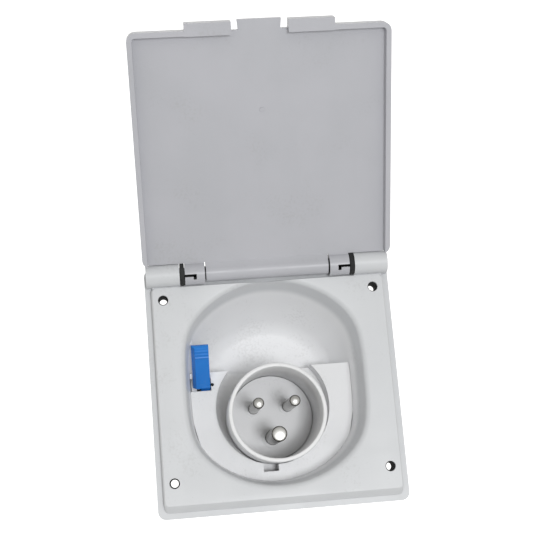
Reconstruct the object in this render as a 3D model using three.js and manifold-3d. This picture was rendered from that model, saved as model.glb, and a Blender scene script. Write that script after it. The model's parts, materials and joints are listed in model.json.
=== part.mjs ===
// Flush wall inlet box with a hinged lid, a recessed three-pin inlet and a sprung release lever.
// Millimetres. X is to the right, Y goes into the wall and Z is up. The origin is on the wall plane,
// at the centre of the four screw holes. The lid is drawn closed and turned open by its group.

import * as THREE from 'three';
import { mergeVertices } from 'three/addons/utils/BufferGeometryUtils.js';
import Module from 'manifold-3d';

const wasm = await Module();
wasm.setup();

// ---------------------------------------------------------------- driving sizes

const seatGap = 0.3;          // between pieces that sit against each other
const runGap = 0.1;           // radial, between a pin and what turns on it
const screwGap = 0.15;        // radial, between a screw or contact and its hole

const flange = { width: 111, height: 111, corner: 3.5, thickness: 3.2 };
const face = { step: 4, sideLedge: 2.9, bottomLedge: 2.1, bottomBevel: 3.5, edge: 0.6 };
const mountHole = { pitchX: 95, pitchZ: 80.6, diameter: 4.6 };
const gasket = { thickness: 2, holeDiameter: 5.2, boreGap: 0.6 };

const recess = { radius: 45.4, halfWidth: 40.2, centreZ: 0.7, lip: 2.2, wall: 2.5 };
const shelf = { depth: 27, radius: 43, halfWidth: 38, centreZ: 0.3, topZ: 9.4, thickness: 2.5 };
const pocket = { depth: 47, radius: 33.5, halfWidth: 30.8, centreZ: -2, fillet: 5, floor: 3 };
const well = { depth: pocket.depth, radius: 41, halfWidth: 36.6, centreZ: 0 };

const tube = { centreZ: -12.9, boreRadius: 20.1, wall: 1.9, rimDepth: 1, rimRound: 0.7 };
const moat = { width: 4.6, centreZ: -8.6, depth: 39, wall: 2.2 };
const collar = { width: 6.2 };
const keyNotch = { x: -3, width: 7, reach: 3 };
const bodyBoss = { radius: 2.8, pilotRadius: 1.2, pilotDepth: 10 };
const bodyBossPlaces = [[-31.5, -13], [31.5, -13], [-21, -33.5], [21, -33.5]];
const bodySeal = { inset: 0.2, width: 1.9, thickness: 1, squeeze: 0.15 };

const carrier = { faceDepth: 42, plugGap: 0.3, flangeLap: 0.7, flangeThickness: 3.7 };
const carrierEar = { lap: 1.9, radius: 3.2 };
const carrierGroove = { start: 1.3, width: 1.6, depth: 1.6 };
const carrierScrew = { radius: 1.1, headRadius: 2.2, headHeight: 1.6, length: 8 };
const pinSeat = { wall: 1.6, height: 0.8 };
const tower = { wall: 1.4, height: 6 };

const contact = { circle: 9.45, tipDepth: 3.5, liveRadius: 2.5, earthRadius: 3.5, tipRound: 1.1 };
const barrel = { extraRadius: 1.2, length: 13, wireRadius: 1.7, wireDepth: 9 };
const clampScrew = { radius: 1.4, headRadius: 2.2, headHeight: 1.8 };

const cover = { radius: 38, wall: 2.2, depth: 24.2, round: 3, lugRadius: 4, lugThickness: 4 };
const coverSeal = { thickness: 1, squeeze: 0.15 };
const coverBossPlaces = [[-42, 3], [42, 3], [-38, -28], [38, -28]];
const coverScrew = { radius: 1.45, headRadius: 2.9, headHeight: 2, bite: 8 };
const seatPlate = { thickness: 4, bossLength: 10.5 };

const gland = { threadRadius: 9.9, acrossFlats: 24, flangeLength: 5, boreRadius: 5.6, noseRadius: 9 };
const glandNut = { length: 11.5, mouthRadius: 5.6, wall: 2 };
const glandSeal = { boreRadius: 4.6, length: 7 };
const lockNut = { thickness: 4.4 };

const hinge = { axisDepth: -1, topInset: 4.1, lugRadius: 5, lugInset: 1, lugWidth: 15, pinRadius: 1.5 };
const knuckle = { gap: 2.4, width: 8.9, radius: 5, barrelRadius: 4, groove: 0.6, grooveRadius: 3 };
const knuckleSlit = { length: 3.8, height: 1.2, endWidth: 1.4, endDrop: 1.3, angle: -10 };
const lid = { openAngle: 149, overhang: 1.1, start: 5.4, skin: 2.8, rim: 2.2, faceGap: 0.3, corner: 3.5 };
const lidTab = { inner: 12, outer: 31.5, reach: 3, root: 2.4, setBack: 0.4 };
const lidTongue = { halfWidth: 9.4, reach: 3.3, notch: 1, slant: 0.5 };
const gateMark = { radius: 0.9, height: 0.4, distance: 73 };

const lever = { x: -32.4, width: 8, tilt: 31.6, length: 22.2, thickness: 3, footZ: 1.3, footProud: 0.6 };
const leverTravel = { angle: 8, gap: 0.4, steps: 3 };
const leverHub = { behind: 5, z: 3, radius: 2.8, width: 4.2, offset: 1.8 };
const leverGrip = { count: 3, pitch: 1.6, height: 0.35, start: 2 };
const leverSlot = { gap: 0.4, height: 6.1, extraDepth: 1 };
const pinWindow = { radius: 0.75, offset: 5, z: 3.6 };
const pivot = { radius: 1, left: 4.5, right: 7.4 };
const spring = { wire: 0.25, coilRadius: 1.9, turns: 2, pitch: 0.5, leg: 6, offset: -1.7 };

// ---------------------------------------------------------------- planes along Y, from the wall out

const flangeRearY = -(gasket.thickness + seatGap);
const ledgeY = flangeRearY - flange.thickness;
const faceY = ledgeY - face.step;
const depthY = (depth) => faceY + depth;
const floorY = depthY(pocket.depth);
const leverFootY = depthY(shelf.depth - lever.footProud);
const leverHubY = depthY(shelf.depth + leverHub.behind);
const floorRearY = floorY + pocket.floor;
const bodyRearY = floorY - bodySeal.thickness - 2 * bodySeal.squeeze;
const coverFrontY = floorRearY + coverSeal.thickness + 2 * coverSeal.squeeze;
const coverRearY = coverFrontY + cover.depth;
const carrierFaceY = depthY(carrier.faceDepth);
const carrierFlangeY = bodyRearY + seatGap;
const carrierRearY = carrierFlangeY + carrier.flangeThickness;
const barrelStartY = carrierRearY + 1;
const barrelEndY = barrelStartY + barrel.length;
const hingeY = depthY(hinge.axisDepth);
const hingeZ = flange.height / 2 - hinge.topInset;
const raisedTopZ = hingeZ - knuckle.radius - 0.5;
const lidLength = hingeZ + flange.height / 2 + lid.overhang;

// ---------------------------------------------------------------- places across the front

const tubeRadius = tube.boreRadius + tube.wall;
const moatRadius = tubeRadius + moat.width;
const collarRadius = tubeRadius + collar.width;
const sealOuter = collarRadius - bodySeal.inset;
const sealInner = sealOuter - bodySeal.width;
const floorHoleRadius = sealInner - seatGap;
const carrierRadius = tube.boreRadius + carrier.flangeLap;
const earReach = tube.boreRadius + carrierEar.lap;
const lugOuterX = flange.width / 2 - hinge.lugInset;
const lugInnerX = lugOuterX - hinge.lugWidth;
const knuckleOuterX = lugInnerX - knuckle.gap;
const knuckleInnerX = knuckleOuterX - knuckle.width;

const roundSteps = 48;
const smallSteps = 20;

// ---------------------------------------------------------------- solids

/** Turns a closed geometry into a manifold solid with its faces out. */
function solid(geometry) {
  const bare = new THREE.BufferGeometry();
  bare.setAttribute('position', geometry.getAttribute('position'));
  bare.setIndex(geometry.getIndex());
  const merged = mergeVertices(bare, 1e-4);
  const vertProperties = new Float32Array(merged.getAttribute('position').array);
  const corners = Array.from(merged.getIndex().array);
  const triangles = [];
  for (let i = 0; i < corners.length; i += 3) {
    const [a, b, c] = corners.slice(i, i + 3);
    if (a !== b && b !== c && c !== a) {
      triangles.push(a, b, c);
    }
  }
  if (signedVolume(vertProperties, triangles) < 0) {
    triangles.reverse();
  }
  const triVerts = new Uint32Array(triangles);
  return new wasm.Manifold(new wasm.Mesh({ numProp: 3, vertProperties, triVerts }));
}

/** Six times the enclosed volume, negative when the faces point in. */
function signedVolume(points, triangles) {
  const corner = (index) => new THREE.Vector3().fromArray(points, 3 * index);
  let total = 0;
  for (let i = 0; i < triangles.length; i += 3) {
    const [a, b, c] = [0, 1, 2].map((k) => corner(triangles[i + k]));
    total += a.dot(b.cross(c));
  }
  return total;
}

/** Joins a list of solids. */
function join(...parts) {
  return parts.flat().reduce((whole, part) => whole.add(part));
}

/** Cuts every solid of a list from the first one. */
function cut(base, ...tools) {
  return tools.flat().reduce((whole, tool) => whole.subtract(tool), base);
}

/** Makes the named mesh of one solid. */
function piece(name, shape, look) {
  const data = shape.getMesh();
  const geometry = new THREE.BufferGeometry();
  geometry.setAttribute('position', new THREE.BufferAttribute(new Float32Array(data.vertProperties), 3));
  geometry.setIndex(new THREE.BufferAttribute(new Uint32Array(data.triVerts), 1));
  geometry.computeVertexNormals();
  const mesh = new THREE.Mesh(geometry, look);
  mesh.name = name;
  return mesh;
}

/** A box between two corners. */
function box(x0, x1, y0, y1, z0, z1) {
  const geometry = new THREE.BoxGeometry(x1 - x0, y1 - y0, z1 - z0);
  geometry.translate((x0 + x1) / 2, (y0 + y1) / 2, (z0 + z1) / 2);
  return solid(geometry);
}

/** A disc or rod along Y. */
function rodY(radius, y0, y1, x, z, steps = smallSteps) {
  const geometry = new THREE.CylinderGeometry(radius, radius, y1 - y0, steps);
  geometry.translate(x, (y0 + y1) / 2, z);
  return solid(geometry);
}

/** A rod along X. */
function rodX(radius, x0, x1, y, z, steps = smallSteps) {
  const geometry = new THREE.CylinderGeometry(radius, radius, x1 - x0, steps);
  geometry.rotateZ(Math.PI / 2);
  geometry.translate((x0 + x1) / 2, y, z);
  return solid(geometry);
}

/** A body turned about a line along Y; the profile holds [radius, y] pairs. */
function turnedY(profile, x, z, steps = smallSteps) {
  const points = profile.map(([radius, y]) => new THREE.Vector2(radius, y));
  const geometry = new THREE.LatheGeometry(points, steps);
  geometry.translate(x, 0, z);
  return solid(geometry);
}

/** A ring along Y with a square section. */
function ringY(inner, outer, y0, y1, x, z, steps = roundSteps) {
  return turnedY([[inner, y0], [outer, y0], [outer, y1], [inner, y1], [inner, y0]], x, z, steps);
}

/** A hexagonal prism along Y. */
function hexY(acrossFlats, y0, y1, x, z) {
  return rodY(acrossFlats / Math.sqrt(3), y0, y1, x, z, 6);
}

/** A prism along X from [y, z] corners. */
function prismX(corners, x0, x1) {
  const shape = new THREE.Shape(corners.map(([y, z]) => new THREE.Vector2(y, z)));
  const geometry = new THREE.ExtrudeGeometry(shape, { depth: x1 - x0, bevelEnabled: false });
  geometry.applyMatrix4(new THREE.Matrix4().set(0, 0, 1, x0, 1, 0, 0, 0, 0, 1, 0, 0, 0, 0, 0, 1));
  return solid(geometry);
}

/** A prism along Y from [x, z] corners. */
function prismY(corners, y0, y1) {
  return loftY([{ y: y0, points: corners }, { y: y1, points: corners }]);
}

/** A solid through star-shaped [x, z] outlines that all have the same number of points. */
function loftY(sections) {
  const count = sections[0].points.length;
  const vertices = [];
  const index = [];
  for (const { y, points } of sections) {
    for (const [x, z] of points) {
      vertices.push(x, y, z);
    }
  }
  for (let row = 0; row + 1 < sections.length; row += 1) {
    for (let i = 0; i < count; i += 1) {
      const next = (i + 1) % count;
      const [a, b] = [row * count + i, row * count + next];
      index.push(a, a + count, b, b, a + count, b + count);
    }
  }
  addCap(vertices, index, sections[0], 0, false);
  addCap(vertices, index, sections.at(-1), (sections.length - 1) * count, true);
  const geometry = new THREE.BufferGeometry();
  geometry.setAttribute('position', new THREE.Float32BufferAttribute(vertices, 3));
  geometry.setIndex(index);
  return solid(geometry);
}

/** Closes one end of a loft with a fan about the middle of its outline. */
function addCap(vertices, index, { y, points }, first, flip) {
  const centre = vertices.length / 3;
  const mean = (axis) => points.reduce((sum, point) => sum + point[axis], 0) / points.length;
  vertices.push(mean(0), y, mean(1));
  for (let i = 0; i < points.length; i += 1) {
    const pair = [first + i, first + (i + 1) % points.length];
    index.push(centre, ...(flip ? pair.reverse() : pair));
  }
}

/** The [x, z] points of a rectangle with round corners. */
function roundedRect(x0, x1, z0, z1, radius, steps = 4) {
  const corners = [[x1, z1, 0], [x0, z1, 1], [x0, z0, 2], [x1, z0, 3]];
  const points = [];
  for (const [x, z, quarter] of corners) {
    const cx = x - Math.sign(x - x0 || -1) * radius;
    const cz = z - Math.sign(z - z0 || -1) * radius;
    for (let i = 0; i <= steps; i += 1) {
      const angle = (quarter + i / steps) * Math.PI / 2;
      points.push([cx + radius * Math.cos(angle), cz + radius * Math.sin(angle)]);
    }
  }
  return points;
}

/** A circle with two flattened sides, its corners softly rounded. */
function flatSidedOutline({ radius, halfWidth, centreZ }, grow = 0, count = 72) {
  const sharpness = 16;
  const points = [];
  for (let i = 0; i < count; i += 1) {
    const angle = 2 * Math.PI * i / count;
    const side = (halfWidth + grow) / Math.max(Math.abs(Math.cos(angle)), 1e-6);
    const soft = (radius + grow) ** -sharpness + side ** -sharpness;
    const reach = soft ** (-1 / sharpness);
    points.push([reach * Math.cos(angle), centreZ + reach * Math.sin(angle)]);
  }
  return points;
}

/** The outline part of the way between two others. */
function between(a, b, share) {
  const mix = (key) => a[key] + (b[key] - a[key]) * share;
  return { radius: mix('radius'), halfWidth: mix('halfWidth'), centreZ: mix('centreZ') };
}

/** The recess outline at a depth, on the way to the given bottom outline. */
function recessAt(depth, bottom) {
  if (depth <= shelf.depth) {
    return between(recess, shelf, Math.max(depth, 0) / shelf.depth);
  }
  return between(shelf, bottom, (depth - shelf.depth) / (bottom.depth - shelf.depth));
}

/** The drafted recess between two depths as one solid, grown outward by a distance. */
function recessSolid(from, to, bottom, grow) {
  const depths = [from, shelf.depth, to].filter((depth) => depth >= from && depth <= to);
  const distinct = [...new Set(depths)];
  const sections = distinct.map((depth) => {
    return { y: depthY(depth), points: flatSidedOutline(recessAt(depth, bottom), grow) };
  });
  return loftY(sections);
}

/** Everything below a height. */
function below(z) {
  return box(-200, 200, -200, 200, -200, z);
}

// ---------------------------------------------------------------- looks

/** A plain finish from a colour, a roughness and a share of metal. */
function finish(color, roughness, metalness = 0) {
  return new THREE.MeshStandardMaterial({ color, roughness, metalness });
}

const looks = {
  shell: finish('#d6d8da', 0.4),
  insert: finish('#d9dad8', 0.42),
  lid: finish('#cfd1d6', 0.35),
  rubber: finish('#26282a', 0.85),
  lever: finish('#2f7fd6', 0.4),
  contact: finish('#c9c9c4', 0.2, 1),
  steel: finish('#b9bcc0', 0.3, 1),
  cover: finish('#c9cbcc', 0.55),
  gland: finish('#3a3c3e', 0.6),
};

// ---------------------------------------------------------------- front frame

/** The four wall screw places. */
function mountPlaces() {
  const places = [];
  for (const sideX of [-1, 1]) {
    for (const sideZ of [-1, 1]) {
      places.push([sideX * mountHole.pitchX / 2, sideZ * mountHole.pitchZ / 2]);
    }
  }
  return places;
}

/** A plate of the flange's size between two planes. */
function flangePlate(y0, y1) {
  const [halfX, halfZ] = [flange.width / 2, flange.height / 2];
  return prismY(roundedRect(-halfX, halfX, -halfZ, halfZ, flange.corner), y0, y1);
}

/** The raised front face, with its bevelled bottom edge. */
function raisedFace() {
  const halfX = flange.width / 2 - face.sideLedge;
  const footZ = -flange.height / 2 + face.bottomLedge;
  const section = (y, inset, bottom) => {
    return { y, points: roundedRect(-halfX + inset, halfX - inset, bottom, raisedTopZ, flange.corner / 2) };
  };
  return loftY([
    section(faceY, face.edge, footZ + face.bottomBevel),
    section(faceY + face.edge, 0, footZ + face.bottomBevel - face.edge),
    section(ledgeY + face.edge, 0, footZ),
  ]);
}

/** The rounded mouth of the recess and its walls down to the shelf. */
function recessMouth() {
  const arcSteps = 4;
  const sections = [{ y: faceY - 1, points: flatSidedOutline(recess, recess.lip) }];
  for (let i = 0; i <= arcSteps; i += 1) {
    const angle = i / arcSteps * Math.PI / 2;
    const depth = recess.lip * (1 - Math.cos(angle));
    const grow = recess.lip * (1 - Math.sin(angle));
    sections.push({ y: depthY(depth), points: flatSidedOutline(recessAt(depth, well), grow) });
  }
  sections.push({ y: depthY(shelf.depth), points: flatSidedOutline(shelf) });
  return loftY(sections);
}

/** The deep pocket above the shelf, with a round foot where its walls meet the floor. */
function deepPocket() {
  const arcSteps = 5;
  const sections = [{ y: depthY(shelf.depth), points: flatSidedOutline(shelf) }];
  for (let i = 0; i <= arcSteps; i += 1) {
    const angle = i / arcSteps * Math.PI / 2;
    const depth = pocket.depth - pocket.fillet * (1 - Math.sin(angle));
    const shrink = pocket.fillet * (1 - Math.cos(angle));
    sections.push({ y: depthY(depth), points: flatSidedOutline(recessAt(depth, pocket), -shrink) });
  }
  return loftY(sections);
}

/** The straight well below the shelf's top edge, where the inlet body sits. */
function bodyWell() {
  return recessSolid(shelf.depth, well.depth, well, 0).intersect(below(shelf.topZ + seatGap));
}

/** The rear plate that the terminal cover closes against, with its four screw bosses. */
function coverSeat() {
  const start = floorRearY - seatPlate.thickness;
  const parts = [rodY(cover.radius + 0.5, start, floorRearY, 0, tube.centreZ, roundSteps)];
  for (const [x, z] of coverBossPlaces) {
    parts.push(rodY(cover.lugRadius, floorRearY - seatPlate.bossLength, floorRearY, x, z));
    parts.push(lugArm(x, z, start, floorRearY));
  }
  return join(parts);
}

/** The straight arm from the cover's circle out to one screw. */
function lugArm(x, z, y0, y1) {
  const out = new THREE.Vector2(x, z - tube.centreZ).normalize();
  const side = new THREE.Vector2(-out.y, out.x).multiplyScalar(cover.lugRadius);
  const centre = new THREE.Vector2(0, tube.centreZ);
  const inner = centre.addScaledVector(out, cover.radius - cover.wall);
  const corners = [
    [inner.x - side.x, inner.y - side.y],
    [x - side.x, z - side.y],
    [x + side.x, z + side.y],
    [inner.x + side.x, inner.y + side.y],
  ];
  return prismY(corners, y0, y1);
}

/** One hinge lug with its foot and the low step that joins it to the face, left (-1) or right (1). */
function hingeLug(side) {
  const [near, far] = [side * lugInnerX, side * lugOuterX].sort((a, b) => a - b);
  const footZ = hingeZ - hinge.lugRadius;
  const foot = box(near, far, hingeY, ledgeY + 1, footZ, flange.height / 2);
  const stepEnd = flange.width / 2 - face.sideLedge - face.edge;
  const [stepNear, stepFar] = [side * lugInnerX, side * stepEnd].sort((a, b) => a - b);
  const step = box(stepNear, stepFar, faceY + face.edge, ledgeY + 1, raisedTopZ - 1, footZ + 1);
  return join(foot, step, rodX(hinge.lugRadius, near, far, hingeY, hingeZ, 28));
}

/** The room in front of the flange where the lid's barrel turns. */
function barrelRoom() {
  const clear = knuckle.radius + 0.5;
  const half = lugInnerX;
  return box(-half, half, hingeY - 2 * clear, hingeY + clear, raisedTopZ, flange.height);
}

/** The walls round the recess, the deep pocket and the well, with the floor behind them. */
function recessShell() {
  const rearDepth = pocket.depth + pocket.floor;
  const upper = recessSolid(face.step, rearDepth, { ...pocket, depth: rearDepth }, recess.wall);
  const lower = recessSolid(face.step, rearDepth, { ...well, depth: rearDepth }, recess.wall);
  return join(upper, lower.intersect(below(shelf.topZ + recess.wall)));
}

/** The moulded frame: flange, raised face, recess, deep pocket, hinge lugs and rear seat. */
function frontFrame() {
  const outside = [
    flangePlate(ledgeY, flangeRearY),
    raisedFace(),
    hingeLug(-1),
    hingeLug(1),
    recessShell(),
    coverSeat(),
  ];
  const holes = mountPlaces().map(([x, z]) => rodY(mountHole.diameter / 2, faceY - 1, 0, x, z));
  const inletHoles = bodyBossPlaces.map(([x, z]) => {
    return rodY(coverScrew.radius + screwGap, floorY - 1, floorRearY + 1, x, z);
  });
  const pilots = coverBossPlaces.map(([x, z]) => {
    return rodY(coverScrew.radius + screwGap, floorRearY - coverScrew.bite - 1, floorRearY + 1, x, z);
  });
  const pinBore = rodX(hinge.pinRadius + runGap, -flange.width, flange.width, hingeY, hingeZ);
  const opening = rodY(floorHoleRadius, floorY - 1, floorRearY + 1, 0, tube.centreZ, roundSteps)
    .intersect(below(tube.centreZ + carrierRadius + seatGap));
  const body = cut(join(outside), recessMouth(), deepPocket(), bodyWell(), barrelRoom());
  const frame = cut(body, opening, pinBore, holes, inletHoles, pilots, leverRoom());
  return piece('front_frame', frame, looks.shell);
}

/** The seal between the flange and the wall. */
function wallGasket() {
  const plate = flangePlate(-gasket.thickness, 0);
  const outline = recessAt(-faceY - gasket.thickness, well);
  const inside = flatSidedOutline(outline, recess.wall + gasket.boreGap);
  const opening = prismY(inside, -gasket.thickness - 1, 1);
  const holes = mountPlaces().map(([x, z]) => {
    return rodY(gasket.holeDiameter / 2, -gasket.thickness - 1, 1, x, z);
  });
  return piece('wall_gasket', cut(plate, opening, holes), looks.rubber);
}

// ---------------------------------------------------------------- inlet body

/** The outer shape of the inlet body behind the shelf, or a smaller copy of it. */
function bodyBlock(shrink, fromDepth, topZ) {
  const whole = recessSolid(fromDepth, well.depth, well, -seatGap - shrink);
  const slab = box(-100, 100, depthY(fromDepth), bodyRearY, -100, topZ);
  return whole.intersect(slab);
}

/** The shroud tube with its rounded rim. */
function shroudTube() {
  const outerRadius = tubeRadius;
  const { boreRadius, rimRound } = tube;
  const rimY = depthY(tube.rimDepth);
  const profile = [
    [boreRadius - 2, bodyRearY],
    [boreRadius - 2, rimY],
    [outerRadius - rimRound, rimY],
    [outerRadius - rimRound * 0.3, rimY + rimRound * 0.3],
    [outerRadius, rimY + rimRound],
    [outerRadius, bodyRearY],
    [boreRadius - 2, bodyRearY],
  ];
  return turnedY(profile, 0, tube.centreZ, roundSteps);
}

/** The bore of the tube, with a soft inner edge at the rim. */
function shroudBore() {
  const rimY = depthY(tube.rimDepth);
  const { boreRadius, rimRound } = tube;
  const profile = [
    [0, rimY - 1],
    [boreRadius + rimRound, rimY - 1],
    [boreRadius + rimRound, rimY],
    [boreRadius + rimRound * 0.3, rimY + rimRound * 0.3],
    [boreRadius, rimY + rimRound],
    [boreRadius, bodyRearY + 1],
    [0, bodyRearY + 1],
  ];
  return turnedY(profile, 0, tube.centreZ, roundSteps);
}

/** The shelf with its skirt, and the moat's wall, the collar and the screw bosses behind it. */
function bodyShell() {
  const [shelfY, moatFloorY] = [depthY(shelf.depth), depthY(moat.depth)];
  const block = bodyBlock(0, shelf.depth, shelf.topZ);
  const hollow = bodyBlock(recess.wall, shelf.depth + shelf.thickness, shelf.topZ - shelf.thickness);
  const wallRadius = moatRadius + moat.wall;
  const moatWall = rodY(wallRadius, shelfY, moatFloorY + moat.wall, 0, moat.centreZ, roundSteps);
  const base = rodY(collarRadius, moatFloorY, bodyRearY, 0, tube.centreZ, roundSteps);
  const bosses = bodyBossPlaces.map(([x, z]) => rodY(bodyBoss.radius, shelfY + 1, bodyRearY, x, z));
  return join(cut(block, hollow), [moatWall, base, ...bosses].map((part) => part.intersect(block)));
}

/** The inlet body: its shell with the shroud tube, less the moat, key notch, slot and screw holes. */
function inletBody() {
  const moatFloorY = depthY(moat.depth);
  const moatHole = rodY(moatRadius, depthY(0), moatFloorY, 0, moat.centreZ, roundSteps);
  const notchFoot = moat.centreZ - moatRadius - keyNotch.reach;
  const [notchLeft, notchRight] = [-1, 1].map((side) => keyNotch.x + side * keyNotch.width / 2);
  const notch = box(notchLeft, notchRight, depthY(0), moatFloorY, notchFoot, tube.centreZ);
  const shelfY = depthY(shelf.depth);
  const slotRight = lever.x + lever.width / 2 + leverSlot.gap;
  const slotEnd = shelfY + shelf.thickness + leverSlot.extraDepth;
  const slotFoot = lever.footZ - leverSlot.gap;
  const slot = box(-shelf.halfWidth, slotRight, shelfY - 1, slotEnd, slotFoot, slotFoot + leverSlot.height);
  const window = rodY(pinWindow.radius, shelfY - 1, slotEnd, lever.x + pinWindow.offset, pinWindow.z, 12);
  const pilots = bodyBossPlaces.map(([x, z]) => {
    return rodY(bodyBoss.pilotRadius + screwGap, bodyRearY - bodyBoss.pilotDepth, bodyRearY + 1, x, z);
  });
  const carrierPilots = carrierScrewPlaces().map(([x, z]) => {
    return rodY(carrierScrew.radius + screwGap, moatFloorY + 1.5, bodyRearY + 1, x, z, 12);
  });
  const [pinLeft, pinRight] = [lever.x - pivot.left - runGap, lever.x + pivot.right + runGap];
  const pivotHole = rodX(pivot.radius + runGap, pinLeft, pinRight, leverHubY, leverHub.z);
  const shell = join(cut(bodyShell(), moatHole, notch), shroudTube());
  const holes = [shroudBore(), slot, window, leverRoom(), ...pilots, ...carrierPilots, pivotHole];
  return piece('inlet_body', cut(shell, holes), looks.insert);
}

/** The flat ring that seals the inlet body to the frame's floor. */
function bodySealRing() {
  const start = bodyRearY + bodySeal.squeeze;
  const ring = ringY(sealInner, sealOuter, start, start + bodySeal.thickness, 0, tube.centreZ);
  return piece('body_seal', ring.intersect(below(shelf.topZ)), looks.rubber);
}

/** The screws that hold the inlet body, driven from behind the frame's floor. */
function bodyScrews() {
  return bodyBossPlaces.map(([x, z], i) => {
    const tip = bodyRearY - bodyBoss.pilotDepth + 1;
    const shank = rodY(bodyBoss.pilotRadius, tip, floorRearY + 1, x, z, 12);
    const head = panHead(floorRearY + seatGap, x, z, coverScrew);
    return piece(`inlet_screw_${i + 1}`, join(shank, head), looks.steel);
  });
}

/** A pan head with a cross slot, its seat at y. */
function panHead(y, x, z, { headRadius, headHeight }) {
  const head = turnedY([
    [0, y],
    [headRadius, y],
    [headRadius, y + headHeight * 0.55],
    [headRadius * 0.7, y + headHeight],
    [0, y + headHeight],
  ], x, z);
  const [arm, half] = [headRadius * 0.6, headRadius * 0.14];
  const top = y + headHeight + 1;
  const bottom = y + headHeight * 0.4;
  const flat = box(x - arm, x + arm, bottom, top, z - half, z + half);
  const upright = box(x - half, x + half, bottom, top, z - arm, z + arm);
  return cut(head, flat, upright);
}

// ---------------------------------------------------------------- contacts

/** Name, angle and radius of the three contacts, seen from the front. */
const contacts = [
  { name: 'line', angle: 150, radius: contact.liveRadius },
  { name: 'neutral', angle: 30, radius: contact.liveRadius },
  { name: 'earth', angle: -90, radius: contact.earthRadius },
];

/** The [x, z] place of a contact. */
function contactPlace({ angle }) {
  const turn = THREE.MathUtils.degToRad(angle);
  return [contact.circle * Math.cos(turn), tube.centreZ + contact.circle * Math.sin(turn)];
}

/** The two screws through the carrier's ears. */
function carrierScrewPlaces() {
  return [[-earReach, tube.centreZ], [earReach, tube.centreZ]];
}

/** The insulating disc that holds the contacts, with an O-ring groove, two ears and three towers. */
function contactCarrier() {
  const plugRadius = tube.boreRadius - carrier.plugGap;
  const grooveStart = carrierFaceY + carrierGroove.start;
  const grooveEnd = grooveStart + carrierGroove.width;
  const grooveRadius = plugRadius - carrierGroove.depth;
  const disc = turnedY([
    [0, carrierFaceY],
    [plugRadius, carrierFaceY],
    [plugRadius, grooveStart],
    [grooveRadius, grooveStart],
    [grooveRadius, grooveEnd],
    [plugRadius, grooveEnd],
    [plugRadius, carrierFlangeY],
    [carrierRadius, carrierFlangeY],
    [carrierRadius, carrierRearY],
    [0, carrierRearY],
  ], 0, tube.centreZ, roundSteps);
  const ears = carrierScrewPlaces().map(([x, z]) => {
    return rodY(carrierEar.radius, carrierFlangeY, carrierRearY, x, z);
  });
  const parts = [disc, ...ears];
  const holes = carrierScrewPlaces().map(([x, z]) => {
    return rodY(carrierScrew.radius + screwGap, carrierFlangeY - 1, carrierRearY + 1, x, z, 12);
  });
  for (const entry of contacts) {
    const [x, z] = contactPlace(entry);
    const barrelHole = entry.radius + barrel.extraRadius + screwGap;
    const seatRadius = entry.radius + pinSeat.wall;
    parts.push(rodY(seatRadius, carrierFaceY - pinSeat.height, carrierFaceY + 1, x, z, 24));
    parts.push(rodY(barrelHole + tower.wall, carrierRearY - 1, carrierRearY + tower.height, x, z, 24));
    holes.push(rodY(entry.radius + screwGap, carrierFaceY - 2, carrierRearY + 1, x, z, 24));
    holes.push(rodY(barrelHole, barrelStartY - screwGap, carrierRearY + tower.height + 1, x, z, 24));
  }
  return piece('contact_carrier', cut(join(parts), holes), looks.insert);
}

/** The O-ring in the carrier's groove. */
function carrierSeal() {
  const middle = carrierFaceY + carrierGroove.start + carrierGroove.width / 2;
  const ringRadius = carrierGroove.width / 2 - 0.15;
  const centre = tube.boreRadius - carrier.plugGap - carrierGroove.depth + ringRadius + 0.1;
  const profile = [];
  for (let i = 0; i <= 8; i += 1) {
    const angle = i / 8 * 2 * Math.PI;
    profile.push([centre + ringRadius * Math.cos(angle), middle + ringRadius * Math.sin(angle)]);
  }
  return piece('carrier_seal', turnedY(profile, 0, tube.centreZ, 36), looks.rubber);
}

/** The two screws that hold the carrier in the inlet body. */
function carrierScrews() {
  return carrierScrewPlaces().map(([x, z], i) => {
    const seat = carrierRearY + 0.1;
    const tip = carrierRearY - carrierScrew.length;
    const shank = rodY(carrierScrew.radius, tip, seat + 0.5, x, z, 12);
    return piece(`carrier_screw_${i + 1}`, join(shank, panHead(seat, x, z, carrierScrew)), looks.steel);
  });
}

/** One contact: round tip, pin, and the drilled terminal barrel behind the carrier. */
function contactPin(entry) {
  const [x, z] = contactPlace(entry);
  const { radius } = entry;
  const tipY = depthY(contact.tipDepth);
  const barrelRadius = radius + barrel.extraRadius;
  const profile = [[0, tipY]];
  for (let i = 0; i <= 4; i += 1) {
    const angle = i / 4 * Math.PI / 2;
    const inset = contact.tipRound * (1 - Math.sin(angle));
    profile.push([radius - inset, tipY + contact.tipRound * (1 - Math.cos(angle))]);
  }
  profile.push([radius, barrelStartY], [barrelRadius, barrelStartY]);
  profile.push([barrelRadius, barrelEndY], [0, barrelEndY]);
  const wireHole = rodY(barrel.wireRadius, barrelEndY - barrel.wireDepth, barrelEndY + 1, x, z);
  const screwHole = clampRod(entry, clampScrew.radius + screwGap, 0, barrelRadius + 2);
  return piece(`pin_${entry.name}`, cut(turnedY(profile, x, z, 24), wireHole, screwHole), looks.contact);
}

/** A rod that points out from a contact, square to it, at the clamp screw's height. */
function clampRod(entry, radius, from, to, steps = 12) {
  const [x, z] = contactPlace(entry);
  const geometry = new THREE.CylinderGeometry(radius, radius, to - from, steps);
  geometry.translate(0, (from + to) / 2, 0);
  geometry.rotateX(Math.PI / 2);
  geometry.rotateY(-THREE.MathUtils.degToRad(entry.angle - 90));
  geometry.translate(x, barrelEndY - barrel.wireDepth / 2, z);
  return solid(geometry);
}

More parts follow.
